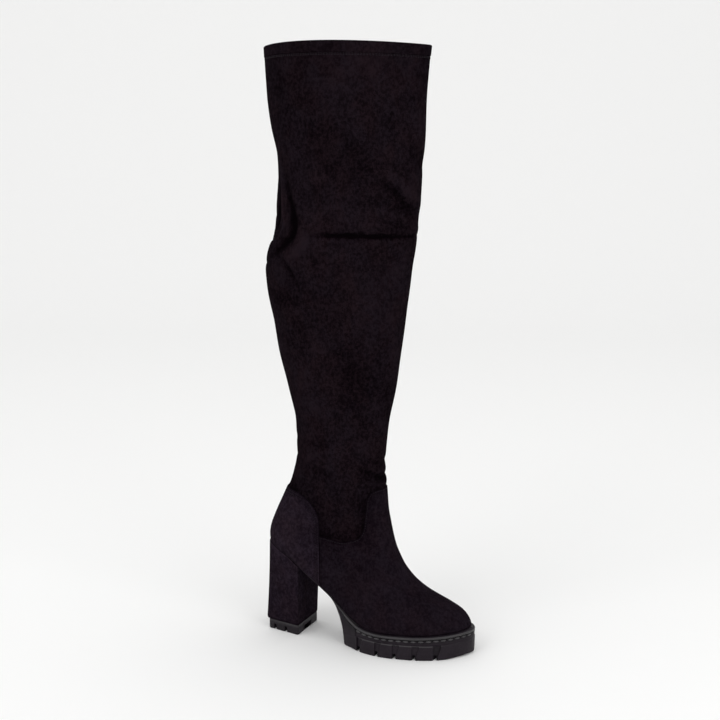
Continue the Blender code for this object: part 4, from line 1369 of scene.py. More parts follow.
@dataclass
class Shaft:
    """The stretch shaft and lasted foot: one wall with a folded hem at the collar."""

    skin: Skin
    finishes: Wardrobe
    wall: float = 0.0016
    hem_height: float = 0.0115
    hem_step: float = 0.0005
    hem_groove: float = 0.0004
    inner_spacing: float = 0.0066
    sharp_folds: tuple[float, ...] = (0.187, 0.451)

    def _row(self, place: float, grid: Array) -> Array:
        """Returns one row of a grid at a place up the boot."""
        rows = np.full(Skin.COLUMNS, np.interp(place, self.skin.places, np.arange(len(self.skin.places))))
        return self.skin.sample(grid, rows, np.arange(Skin.COLUMNS, dtype=float))

    def build(self) -> Object:
        """Makes the upper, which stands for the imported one.

        Returns:
            The upper.
        """
        places = self.skin.places
        half = (self.wall + 2 * self.hem_step) / 2
        top = places[-1] - half
        hem = places[-1] - self.hem_height
        rows = [(place, 0.0, 0.0) for place in places[places < hem - 0.0016]]
        rows += [(hem - 0.0011, 0.0, 0.0), (hem - 0.0005, -self.hem_groove * 0.7, 0.0),
                 (hem, -self.hem_groove, 0.0), (hem + 0.0002, self.hem_step * 0.5, 0.0),
                 (hem + 0.0007, self.hem_step, 0.0)]
        rows += [(place, self.hem_step, 0.0) for place in np.linspace(hem + 0.002, top, 7)]
        arc = np.linspace(0, math.pi, 9)[1:-1]
        rows += [(top, self.hem_step - half + half * math.cos(a), half * math.sin(a)) for a in arc]
        inside = self.hem_step - 2 * half
        rows += [(place, inside, 0.0) for place in (top, hem + 0.004, hem)]
        within = [np.linspace(0.0, hem - 0.001, int((hem - 0.001) / self.inner_spacing))]
        for z in self.sharp_folds:
            within.append(places[int(self.skin.climb(z, True))] + np.linspace(-0.009, 0.009, 10))
        rows += [(place, -self.wall, 0.0) for place in np.sort(np.concatenate(within))[::-1]]
        points, fold = [], []
        for place, out, rise in rows:
            row = self._row(place, self.skin.points) + self._row(place, self.skin.normals) * out
            row[:, 2] += rise
            points.append(row)
            # The outer rows carry the skin's painted shade and highlight; the inner wall gets none.
            fold.append(self._row(place, self.skin.shade) if out > -half else np.zeros(Skin.COLUMNS))
        faces = grid_faces(len(rows), Skin.COLUMNS, tube=True)
        return make_object("dressed_upper", np.concatenate(points), faces, self.finishes.shaft,
                           {"fold": np.concatenate(fold)}, 60)

    def hem_line(self, below: float, out: float) -> tuple[Array, Array]:
        """Finds a closed line round the hem.

        Args:
            below: How far under the collar.
            out: How far outside the skin.

        Returns:
            The points and their outward directions.
        """
        place = self.skin.places[-1] - below
        normals = self._row(place, self.skin.normals)
        points = self._row(place, self.skin.points) + normals * out
        return np.vstack([points, points[:1]]), np.vstack([normals, normals[:1]])


class Side(Enum):
    """Which end of the foot a panel wraps."""

    HEEL = "heel"
    TOE = "toe"


@dataclass
class Panel:
    """A panel laid over the foot: its rim is rounded, and rows of stitches pull it in."""

    name: str
    side: Side
    edge: Sequence[Corner]
    skin: Skin
    last: Last
    thickness: float = 0.0012
    rounding: float = 0.0008
    sunk: float = 0.0004
    seam: float = 0.0006
    rows: int = 44
    stitch_rows: tuple[float, ...] = (0.0016,)
    stitch_dip: float = 0.00028
    columns: int = 170

    EDGE_POINTS = 90
    SEAM_POINTS = 16
    FOOT_POINTS = 400
    FOOT_ROW = 0.3
    FOOT_GAP = 0.0008
    MIDDLE_GAP = 7.0
    RIM_STEPS = (0.0, 0.00012, 0.0003, 0.0006, 0.0011, 0.0017, 0.0024, 0.0031, 0.0041, 0.0052, 0.0066)
    RIM_BAND = 0.009
    CHUNK = 1500

    def _trace(self) -> tuple[Array, Array]:
        """Finds the panel's edge and its seam on both sides.

        Returns:
            Rows and columns of the skin, for the edge and for the two seams.
        """
        last, skin = self.last, self.skin
        rise = last.ankle_height - last.forepart
        toe = self.side is Side.TOE
        middle = Skin.COLUMNS / 2 if toe else 0.0
        line = np.array([(float(last.x_at(c.along)), last.forepart + c.height * rise) for c in self.edge])
        shift = self.seam / 2 if toe else -self.seam / 2
        line[0, 0] += shift
        run = lengths(line)
        fine = through(line, run, np.linspace(0, run[-1], self.EDGE_POINTS))
        foot = float(last.feather(last.along_at(line[0, 0])))
        stem = np.stack([np.full(self.SEAM_POINTS, line[0, 0]),
                         np.linspace(foot + self.FOOT_GAP, line[0, 1], self.SEAM_POINTS)], 1)
        sides = []
        for inner in (False, True):
            def find(place: Array) -> tuple[float, float]:
                """Finds one place on this side."""
                row, column = skin.locate(place[0], place[1], inner)
                return row, column + (Skin.COLUMNS if toe and inner else 0.0)

            edge = np.array([find(place) for place in fine])
            edge = edge[np.abs(edge[:, 1] - middle) > self.MIDDLE_GAP]
            stop = np.array([[skin.climb(line[-1, 1], toe), middle]])
            edge = np.concatenate([edge, stop])
            sides.append((edge, np.array([find(place) for place in stem])))
        (outer, outer_stem), (inner, inner_stem) = sides
        top = np.concatenate([outer, inner[::-1][1:]])
        return top, np.stack([outer_stem, inner_stem])

    def _spread(self, line: Array, shares: Array) -> Array:
        """Returns places on a line of rows and columns at shares of its length on the boot."""
        run = lengths(self.skin.place(line))
        return np.stack([np.interp(shares * run[-1], run, line[:, k]) for k in range(2)], 1)

    def build(self, finish: Material) -> Object:
        """Makes the panel and keeps its rim for the stitches.

        Args:
            finish: The panel's material.

        Returns:
            The panel.
        """
        skin = self.skin
        top, stems = self._trace()
        top = eased(top, 3)
        top[0], top[-1] = stems[0][-1], stems[1][-1]
        length = lengths(skin.place(top))[-1]
        near, band = np.array(self.RIM_STEPS), self.RIM_BAND / length
        across = np.concatenate([near / length, np.linspace(band, 1 - band, self.columns),
                                 1 - near[::-1] / length])
        upper = self._spread(top, across)
        foot = np.linspace(stems[0][0, 1], stems[1][0, 1], self.FOOT_POINTS)
        lower = self._spread(np.stack([np.full(self.FOOT_POINTS, self.FOOT_ROW), foot], 1), across)
        height = np.linalg.norm(skin.place(upper) - skin.place(lower), axis=1)
        down = near[None, :] / height[:, None]
        plain = np.linspace(0.0, 1.0, self.rows, endpoint=False)[None, :] * (1 - self.RIM_BAND / height[:, None])
        climb = np.concatenate([plain, (1 - down)[:, ::-1]], 1)
        left = self._spread(stems[0], climb[0])
        right = self._spread(stems[1], climb[-1])
        a = across[:, None, None]
        b = climb[:, :, None]
        grid = ((1 - b) * lower[:, None] + b * upper[:, None] + (1 - a) * left[None] + a * right[None]
                - (1 - a) * (1 - b) * lower[0] - a * (1 - b) * lower[-1]
                - (1 - a) * b * upper[0] - a * b * upper[-1])
        self.throat = top
        self.rim = np.concatenate([stems[0][:-1], top, stems[1][::-1][1:]])
        skin.darken(skin.place(top))
        rim = skin.place(self._dense(self.rim))
        place, normal = skin.place(grid), skin.facing(grid)
        flat = place.reshape(-1, 3)
        parts = np.array_split(flat, max(1, len(flat) // self.CHUNK))
        away = np.concatenate([np.linalg.norm(part[:, None] - rim[None], axis=2).min(axis=1) for part in parts])
        away = away.reshape(place.shape[:2])
        share = np.clip(away / self.rounding, 0, 1)
        out = self.thickness * np.sqrt(1 - (1 - share) ** 2)
        for row in self.stitch_rows:
            out = out - self.stitch_dip * np.exp(-((away - row) / 0.00055) ** 2)
        outside = place + normal * out[..., None]
        inside = place - normal * self.sunk
        # Painted shading: the skin's painted shade, a painted highlight along the rounded rim, and painted shade
        # at the rim's very edge and in the dip of each stitch row.
        fold = skin.sample(skin.shade, grid[..., 0], grid[..., 1])
        fold = fold + 0.16 * np.exp(-((away - 0.0010) / 0.0008) ** 2) - 0.45 * np.exp(-(away / 0.0005) ** 2)
        for row in self.stitch_rows:
            fold = fold - 0.24 * np.exp(-((away - row) / 0.0006) ** 2)
        nx, ny = place.shape[:2]
        faces = grid_faces(nx, ny, ring=False)[:, ::-1]
        count = nx * ny
        border = ([k * ny for k in range(nx)] + [(nx - 1) * ny + k for k in range(1, ny)]
                  + [k * ny + ny - 1 for k in range(nx - 2, -1, -1)] + [k for k in range(ny - 2, 0, -1)])
        walls = [(p, count + p, count + q, q) for p, q in zip(border, border[1:] + border[:1])]
        every = np.concatenate([faces, faces[:, ::-1] + count, np.array(walls)[:, ::-1]])
        points = np.concatenate([outside.reshape(-1, 3), inside.reshape(-1, 3)])
        return make_object(self.name, points, every, finish, {"fold": np.concatenate([fold.ravel()] * 2)}, 70)

    def _dense(self, line: Array) -> Array:
        """Returns a line of rows and columns with a point at least every half millimetre."""
        return self._spread(line, np.linspace(0, 1, int(lengths(self.skin.place(line))[-1] / 0.0005)))

    def stitch_line(self, inset: float) -> tuple[Array, Array]:
        """Finds a line along the panel's rim, on the vamp along its throat alone.

        Args:
            inset: How far inside the rim.

        Returns:
            Points on the panel's face and outward directions.
        """
        skin = self.skin
        line = self._dense(self.throat if self.side is Side.TOE else self.rim)[::2]
        points, normal = skin.place(line), skin.facing(line)
        tangent = unit(np.gradient(points, axis=0))
        inward = unit(np.cross(tangent, normal)) * (1.0 if self.side is Side.TOE else -1.0)
        moved = []
        for place, (row, column), into in zip(points, line, inward):
            for _ in range(3):
                at = skin.around(row, column)
                slope = np.stack([at[1] - at[2], at[3] - at[4]], 1)
                step = np.linalg.lstsq(slope, place + into * inset - at[0], rcond=None)[0]
                row, column = row + step[0], column + step[1]
            moved.append((row, column))
        sewn = eased(np.array(moved), 2)
        normal = skin.facing(sewn)
        return skin.place(sewn) + normal * (self.thickness - self.stitch_dip * 0.7), normal


@dataclass
class Platform:
    """The lugged rubber platform and its thin waist, with its bead and its moulded row of dashes."""

    last: Last
    finishes: Wardrobe
    edge: float = 0.0050
    waist: float = 0.0020
    start: float = 0.0787
    cove: float = 0.022
    cove_power: float = 4.0
    breast: float = 0.185
    lug: float = 0.0160
    ledge: float = 0.0014
    bevel: float = 0.0012
    toe_round: float = 1.9
    toe_lift: float = 0.0012
    toe_lift_start: float = 0.86
    channel_width: float = 0.0031
    channel_height: float = 0.0058
    recess_foot: float = 0.0017
    recess_top: float = 0.0038
    recess_depth: float = 0.0016
    recess_slant: float = 0.0023
    rear_inset: float = 0.0008
    welt_height: float = 0.0030
    welt_reach: float = 0.0030
    welt_start: float = 0.0660
    welt_thin: float = 0.25
    welt_full_from: float = 0.36
    welt_full_over: float = 0.10
    clearance: float = 0.0003
    seated: float = 0.00015

    def __post_init__(self) -> None:
        """Draws the platform's outline."""
        reach = Curve(SOLE_REACH, "along", "reach")
        self.offset: Callable[[Array], Array] = lambda along: self.edge * reach(along)
        self.inset = Curve(GROUND_INSET, "along", "reach")
        self.outline = Outline(self.last, self.offset)

    def _seat(self, x: Array | float) -> Array:
        """Returns the height of the sole line over an x."""
        return self.last.feather(self.last.along_at(x))

    def _bottom(self, x: float) -> float:
        """Finds the underside.

        Args:
            x: The place.

        Returns:
            Its height.
        """
        away = min(max((self.start - x) / self.cove, 0.0), 1.0)
        toe = max(0.0, (float(self.last.along_at(x)) - self.toe_lift_start) / (1 - self.toe_lift_start))
        under = float(self._seat(x)) - self.waist
        return under * (1 - (1 - away) ** self.cove_power) + self.toe_lift * toe ** 2

    def _full(self, x: float) -> float:
        """Returns how much of its full size the bead has at an x."""
        along = float(self.last.along_at(x))
        return min(max((along - self.welt_full_from) / self.welt_full_over, self.welt_thin), 1.0)

    def _stations(self) -> Array:
        """Places the sections, close together at the channels, the cove and the toe.

        Returns:
            The x of each.
        """
        first = float(self.last.x_at(self.breast)) + self.clearance
        tip = self.outline.end - 0.00002
        parts = [np.linspace(first, tip - 0.006, 120), tip - 0.006 * (1 - np.linspace(0, 1, 26) ** 0.5) ** 2,
                 self.start - self.cove * np.linspace(0, 1, 24) ** 2]
        for channel in CHANNELS:
            parts.append(float(self.last.x_at(channel.outer)) + np.linspace(-0.0056, 0.0066, 46))
        merged = np.sort(np.concatenate(parts))
        merged = merged[merged <= tip]
        keep = np.concatenate([[True], np.diff(merged) > 0.00008])
        return merged[keep]

    def _shear(self, x: Array | float) -> Array:
        """Slants the sections with the channels.

        Args:
            x: The outer ends.

        Returns:
            How much further on the inner ends lie.
        """
        places = [self.start] + [float(self.last.x_at(c.outer)) for c in CHANNELS] + [self.outline.end]
        shifts = [0.0] + [(c.inner - c.outer) * self.last.foot_length for c in CHANNELS] + [0.0]
        return np.interp(x, places, shifts)

    def _profile(self, x: float, top: float, bottom: float) -> list[tuple[float, float]]:
        """Draws the side wall at one section.

        Args:
            x: The section's place.
            top: The height of its top.
            bottom: The height of the tread.

        Returns:
            Height over the tread and inset of each point, from the tread up.
        """
        share = min(1.0, (top - bottom) / self.last.forepart)
        full = self._full(x)
        ground = self.last.ball_width * float(self.inset(self.last.along_at(x))) * share
        front = float(smoothstep((x - float(self.last.x_at(CHANNELS[0].outer)) + 0.0042) / 0.0009))
        rounder = 1 + self.toe_round * float(smoothstep((float(self.last.along_at(x)) - 0.93) / 0.05))
        lug, bevel, ledge = self.lug * share, self.bevel * share * rounder, self.ledge * share * front
        back = self.rear_inset * share * (1 - front)
        under = min(top - (self.welt_height * full + 0.0009 * share), top - 0.0001)
        band = ledge * 1.15
        rows = [(0.0, ground + bevel), (bevel * 0.3, ground * 0.9 + bevel * 0.3), (bevel, ground * 0.8)]
        rows += [(bevel + (lug - bevel) * s, ground * 0.8 * (1 - s) + 0.00035 * s * share)
                 for s in (0.12, 0.24, 0.36, 0.5, 0.64, 0.78, 0.9)]
        rows += [(lug - 0.0006 * share, 0.0002 * share), (lug, 0.0003 * share),
                 (lug + ledge * 0.30, ledge * 0.45), (lug + ledge * 0.62, band)]
        rows += [(under - bottom, band), (under - bottom + 0.0001, self.welt_reach * full * 0.8),
                 (top - bottom, self.welt_reach * full * 0.8)]
        heights = np.maximum.accumulate(np.array([row[0] for row in rows]))
        heights = np.minimum(heights, top - bottom)
        return [(float(h), row[1] + back) for h, row in zip(heights, rows)]

    def _carve(self, x: float, inner: bool, height: float) -> tuple[float, float, float]:
        """Finds the channels' effect on a point of the side.

        Args:
            x: The point's x.
            inner: Whether it is on the inner side.
            height: Its height over the tread.

        Returns:
            How far it moves in, how high it is lifted, and its painted shading: painted shade inside a recess, a
            painted highlight along its rim.
        """
        inward, lift, dark = 0.0, 0.0, 0.0
        for channel in CHANNELS:
            centre = float(self.last.x_at(channel.inner if inner else channel.outer))
            gap = abs(x - centre)
            lift = max(lift, float(smoothstep((self.channel_width / 2 + 0.00015 - gap) / 0.0003)))
            rise = min(max(height / self.lug, 0.0), 1.0)
            slanted = abs(x - centre - self.recess_slant * rise)
            wide = self.recess_foot + (self.recess_top - self.recess_foot) * rise
            depth = self.recess_depth * float(smoothstep((self.lug * 1.02 - height) / 0.0012))
            inside = float(smoothstep((wide - slanted) / 0.0007 + 0.5))
            inward = max(inward, depth * inside)
            rim = math.exp(-((slanted - wide - 0.0004) / 0.0005) ** 2)
            # Painted shade inside a recess, a painted highlight along its rim.
            dark = min(dark, -0.42 * inside) if inside > 0.2 else max(dark, 0.22 * rim)
        return inward, lift, dark

    @staticmethod
    def _tone(number: int, dark: float, lugged: float) -> float:
        """Paints light and shade on a point of the side wall.

        Args:
            number: Its number up the wall.
            dark: The painted shading that channels and recesses add.
            lugged: How strongly the painted highlight on the lugs' rims shows.

        Returns:
            The painted shading, from -1, painted shade, to 1, painted highlight.
        """
        # Painted highlight along the lugs' top edges (points 10 to 12), painted shade under the bead (14 and
        # 15), darker along the tread's bevel (0 and 1).
        lit = {10: 0.55, 11: 0.95, 12: 0.35, 0: -0.3, 1: -0.3, 14: -0.7, 15: -1.0}
        tone = lit.get(number, 0.0)
        if number in (10, 11, 12):
            tone *= lugged * (0.0 if dark < -0.1 else 1.0)
        return max(-1.0, min(1.0, tone + (dark if number <= 12 else 0.0)))

    def build(self) -> Object:
        """Makes the outsole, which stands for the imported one.

        Returns:
            The outsole.
        """
        sections, around, ribbed, edges = [], [], [], []
        run = 0.0
        before = None
        for x in self._stations():
            far = float(x + self._shear(x))
            far = min(far, self.outline.end - 0.00001)
            top = float(self._seat(x)) - self.clearance
            bottom = self._bottom(float(x))
            ends = [np.array([x, float(self.outline.across(x, False))]),
                    np.array([far, float(self.outline.across(far, True))])]
            span = float(np.linalg.norm(ends[1] - ends[0]))
            into = (ends[1] - ends[0]) / max(span, TINY)
            if before is not None:
                run += float(np.linalg.norm(ends[0] - before))
            before = ends[0]
            walls = []
            lugged = float(smoothstep((x - float(self.last.x_at(CHANNELS[0].outer))) / 0.001))
            # How strongly the painted highlight on the lugs' rims shows: none before the first channel, less
            # towards the toe.
            toe_share = lugged * (1 - 0.8 * float(smoothstep((x - float(self.last.x_at(0.90))) / 0.006)))
            tones = []
            for end, sign, inner in ((ends[0], 1.0, False), (ends[1], -1.0, True)):
                wall, tone = [], []
                for number, (height, inset) in enumerate(self._profile(float(x), top, bottom)):
                    inward, lift, dark = self._carve(float(end[0]), inner, height)
                    inset = min(inset + inward, span * 0.42)
                    lifted = lift * self.channel_height if height < self.channel_height else 0.0
                    low = bottom + max(height, lifted)
                    spot = end + sign * into * inset
                    wall.append((spot[0], spot[1], min(low, top)))
                    tone.append(self._tone(number, dark, toe_share))
                walls.append(wall)
                tones.append(tone)
            outer, inner_wall = walls
            start, stop = np.array(outer[0]), np.array(inner_wall[0])
            tread = [tuple(start + (stop - start) * s) for s in np.linspace(0, 1, 12)[1:-1]]
            start, stop = np.array(inner_wall[-1]), np.array(outer[-1])
            raised = np.array([0.0, 0.0, self.clearance + self.seated])
            cover = [tuple(start + (stop - start) * s + raised) for s in (0.15, 0.5, 0.85)]
            loop = tread + inner_wall + cover + outer[::-1]
            sections.append(loop)
            # Painted shading of both side walls; none on the tread and the cover.
            edges += [0.0] * len(tread) + tones[1] + [0.0] * len(cover) + tones[0][::-1]
            around += [run] * len(loop)
            toe = float(smoothstep((x - float(self.last.x_at(CHANNELS[-1].outer)) - 0.003) / 0.002))
            low, high = bottom + self.bevel * 1.5, bottom + self.lug - 0.0012
            ribbed += [toe if low < point[2] < high else 0.0 for point in loop]
        count = len(sections[0])
        points = np.concatenate([np.array(section) for section in sections])
        faces = [tuple(face) for face in grid_faces(len(sections), count)[:, ::-1]]
        faces.append(tuple(range(count)))
        faces.append(tuple(range(len(points) - count, len(points)))[::-1])
        return make_object("dressed_outsole", points, faces, self.finishes.rubber,
                           {"around": np.array(around), "ribbed": np.array(ribbed),
                            "edge": np.array(edges)}, 32)

    def bead(self) -> Object:
        """Makes the welt's bead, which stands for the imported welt.

        Returns:
            The bead.
        """
        points, normal, _ = self.outline.path(self.welt_start, 420)
        sections = []
        for place, direction in zip(points, normal):
            full = self._full(float(place[0]))
            height = self.welt_height * full
            inside = -(float(self.offset(self.last.along_at(place[0]))) + self.welt_reach * full)
            top = float(self._seat(place[0])) - 2 * self.clearance
            section = [(inside, 0.0), (inside * 0.5, 0.0)]
            for turn in np.linspace(0, math.pi, 12):
                section.append((-height * 0.42 + height * 0.42 * math.sin(turn),
                                -height / 2 + height / 2 * math.cos(turn)))
            section += [(inside * 0.5, -height), (inside, -height)]
            sections.append([(*(place + direction * out), top + drop) for out, drop in section])
        count = len(sections[0])
        cloud = np.concatenate([np.array(section) for section in sections])
        faces = [tuple(face) for face in grid_faces(len(sections), count)]
        faces.append(tuple(range(count))[::-1])
        faces.append(tuple(range(len(cloud) - count, len(cloud))))
        # Painted shading of the bead: a painted highlight on its upper round, painted shade on its lower round
        # and underside, and a thin line of painted shade where the round starts on top.
        section = [0.0, 0.0] + [-0.5] + [0.25] * 6 + [0.0, -0.4, -0.9, -1.0, -1.0] + [-1.0, -1.0]
        return make_object("dressed_welt", cloud, faces, self.finishes.bead,
                           {"edge": np.array(section * len(sections))}, 50)

    def dash_line(self) -> tuple[Array, Array]:
        """Finds the line of the moulded dashes.

        Returns:
            Its points and their outward directions.
        """
        points, normal, _ = self.outline.path(float(self.last.x_at(CHANNELS[0].outer)) - 0.0005, 500)
        heights = []
        for place in points:
            top = float(self._seat(place[0])) - self.clearance
            heights.append(top - self.welt_height - 0.0018)
        spots = points - normal * (self.ledge * 0.75)
        return (np.column_stack([spots, heights]), np.column_stack([normal, np.zeros(len(normal))]))


@dataclass
class Heel:
    """The covered block and its rubber top piece."""

    last: Last
    finishes: Wardrobe
    length: float = 0.0408
    width: float = 0.0495
    flare: float = 0.0076
    rim: float = 0.0032
    pinch: float = 0.0010
    edge: float = 0.0016
    edge_rise: float = 0.0036
    overhang: float = 0.0018
    top_piece: float = 0.0112
    groove_width: float = 0.0029
    groove_height: float = 0.0061
    groove_depth: float = 0.0062
    grooves: tuple[float, ...] = (0.22, 0.58)
    breast: float = 0.185
    corner: float = 0.12
    back_flat: float = 0.86
    corner_power: float = 2.6
    front_corner: float = 0.045
    front_flat: float = 0.945
    clearance: float = 0.0003
    seated: float = 0.00015
    side_points: int = 130
    breast_points: int = 36
    breast_groove: float = 0.0088
    breast_groove_depth: float = 0.0064

    def _shares(self) -> Array:
        """Returns places from the back to the breast, close at both corners."""
        return (1 - np.cos(np.linspace(0, math.pi, self.side_points))) / 2

    def _corners(self, share: Array, back: bool = True) -> Array:
        """Rounds the block's corners.

        Args:
            share: Shares of the block's length, from the back.
            back: Whether the back is rounded as well as the breast.

        Returns:
            What the half-width is multiplied by.
        """
        power = self.corner_power
        near = np.clip(share / self.corner, 0, 1)
        rounded = (1 - (1 - near) ** power) ** (1 / power) if back else np.ones_like(share)
        rounded = self.back_flat + (1 - self.back_flat) * rounded if back else rounded
        front = np.clip((1 - share) / self.front_corner, 0, 1)
        return rounded * (self.front_flat + (1 - self.front_flat) * (1 - (1 - front) ** 2) ** 0.5)

    def _ring(self, xs: Array, outer: Array, inner: Array, zs: Array) -> Array:
        """Closes a ring: up the outer side, across the breast and back along the inner side.

        Args:
            xs: The x of both sides.
            outer: The outer side's y.
            inner: The inner side's y.
            zs: The heights.

        Returns:
            The ring's points.
        """
        out = np.stack([xs, outer, zs], 1)
        into = np.stack([xs, inner, zs], 1)
        share = np.linspace(0, 1, self.breast_points + 2)[1:-1, None]
        return np.concatenate([out, out[-1] * (1 - share) + into[-1] * share, into[::-1]])

    def _ground(self, inset: float, z: float) -> Array:
        """Draws the ground outline at a height.

        Args:
            inset: How far it is moved in.
            z: The height.

        Returns:
            The ring's points.
        """
        share = self._shares()
        back = -self.length / 2 + inset
        front = self.length / 2 - max(inset, 0.0)
        half = (self.width / 2 - inset - self.flare * (1 - share)) * self._corners(share)
        return self._ring(back + share * (front - back), -half, half, np.full(len(share), z))

    def _solid(self, name: str, rings: Sequence[Array], finish: Material,
               fields: dict[str, Array] | None = None, sharp: float = 40.0) -> Object:
        """Closes a stack of rings with strips between their two sides.

        Args:
            name: The piece's name.
            rings: The rings, from the bottom.
            finish: The piece's material.
            fields: Further values at each vertex, by name.
            sharp: The angle in degrees over which an edge stays sharp.

        Returns:
            The piece.
        """
        count = len(rings[0])
        half = count // 2
        points = np.concatenate(rings)
        faces = [tuple(face) for face in grid_faces(len(rings), count)]
        top = len(points) - count
        for k in range(half - 1):
            faces.append((k, count - 1 - k, count - 2 - k, k + 1))
            faces.append((top + k, top + k + 1, top + count - 2 - k, top + count - 1 - k))
        return make_object(name, points, faces, finish, fields, sharp)

    def block(self) -> Object:
        """Makes the covered block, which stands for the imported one.

        Returns:
            The block.
        """
        last = self.last
        share = self._shares()
        outline = Outline(last, lambda along: np.full(len(along), self.rim))
        breast = float(last.x_at(self.breast))
        xs = outline.start + TINY + share * (breast - outline.start)
        corner = self._corners(share, back=False)
        sides = [outline.across(xs, inner) * corner for inner in (False, True)]
        seat = last.feather(last.along_at(xs)) - self.clearance
        top = self._ring(xs, sides[0], sides[1], seat)
        foot = self.top_piece + self.clearance
        low = self._ground(-self.overhang, foot + self.edge_rise)
        rings = [self._ground(self.edge - self.overhang + 0.0012, foot),
                 self._ground(self.edge - self.overhang, foot + 0.0001)]
        for turn in (0.30, 0.60, 0.85):
            angle = turn * math.pi / 2
            inset = (self.edge - self.overhang) * (1 - math.sin(angle)) - self.overhang * math.sin(angle)
            rings.append(self._ground(inset, foot + self.edge_rise * (1 - math.cos(angle))))
        # Painted shading: painted shade along the block's lower edge, fading up its side.
        fold = [-0.6, -0.6, -0.5, -0.35, -0.2]
        for rise in np.linspace(0, 1, 40)[:-1]:
            ring = low + (top - low) * rise
            ring[:, 1] *= 1 - self.pinch / (self.width / 2) * math.sin(rise * math.pi)
            rings.append(ring)
            fold.append(-0.12 * (1 - rise) ** 2)
        roll = top.copy()
        roll[:, 2] -= 0.0012
        centre = np.array([float(top[:, 0].mean()), 0.0, 0.0])
        rings.append(roll)
        for drop, pull in ((0.0005, 0.0001), (0.0001, 0.0004)):
            ring = top.copy()
            ring[:, 2] -= drop
            ring[:, :2] += unit(centre[:2] - ring[:, :2]) * pull
            rings.append(ring)
        for pull, rise in ((0.0012, 0.0), (0.0038, self.clearance + self.seated)):
            ring = top.copy()
            ring[:, :2] += unit(centre[:2] - ring[:, :2]) * pull
            ring[:, 2] += rise
            rings.append(ring)
        # A painted highlight along the cover's rolled top edge.
        fold += [0.10, 0.22, 0.22, 0.0, 0.0]
        values = np.concatenate([np.full(len(rings[0]), value) for value in fold])
        return self._solid("dressed_heel", rings, self.finishes.cover, {"fold": values}, 50)

    def tip(self) -> Object:
        """Makes the top piece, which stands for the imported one.

        Returns:
            The top piece.
        """
        heights = [0.0, 0.0004, 0.0010, 0.0024, 0.0040, self.groove_height - 0.0003, self.groove_height,
                   self.groove_height + 0.0004, 0.0080, self.top_piece - 0.0008, self.top_piece - 0.0002,
                   self.top_piece]
        insets = [0.0007, 0.0002, 0.0, 0.0, 0.0, 0.0, 0.0, 0.0, 0.0, 0.0, 0.0003, 0.0010]
        rings = []
        for z, inset in zip(heights, insets):
            ring = self._dense(self._ground(inset, z))
            grooved = float(smoothstep((self.groove_height - z) / 0.0003 + 0.5))
            rings.append(self._groove(ring, grooved))
        # Painted shading: painted shade towards the floor and a painted highlight along the top piece's upper
        # edge.
        light = [-0.5, -0.3, -0.1, 0.0, 0.0, 0.0, 0.0, 0.0, 0.15, 0.75, 0.8, 0.2]
        edge = np.concatenate([np.full(len(rings[0]), value) for value in light])
        return self._solid("dressed_top_piece", rings, self.finishes.tip, {"edge": edge}, 30)

    def _dense(self, ring: Array) -> Array:
        """Resamples one half of a ring evenly and mirrors it.

        Args:
            ring: The ring.

        Returns:
            The new ring.
        """
        half = ring[: len(ring) // 2]
        middle = (ring[len(ring) // 2 - 1] + ring[len(ring) // 2]) / 2
        half = np.concatenate([half, [middle]])
        run = lengths(half)
        wanted = np.linspace(0, run[-1], 300)
        line = np.stack([np.interp(wanted, run, half[:, k]) for k in range(3)], 1)[:-1]
        return np.concatenate([line, (line * (1, -1, 1))[::-1]])

    def _groove(self, ring: Array, depth: float) -> Array:
        """Presses the grooves of the two sides and the breast into a ring.

        Args:
            ring: The ring.
            depth: How deep, from 0 to 1.

        Returns:
            The grooved ring.
        """
        ring = ring.copy()
        for share in self.grooves:
            x = -self.length / 2 + share * self.length
            side = np.abs(ring[:, 1]) > self.width * 0.3
            press = smoothstep((self.groove_width / 2 - np.abs(ring[:, 0] - x)) / 0.0004 + 0.5) * side * depth
            ring[:, 1] -= np.sign(ring[:, 1]) * press * self.groove_depth
        front = ring[:, 0] > self.length / 2 - 0.0015
        press = smoothstep((self.breast_groove - np.abs(ring[:, 1])) / 0.0004 + 0.5) * front * depth
        ring[:, 0] -= press * self.breast_groove_depth
        return ring


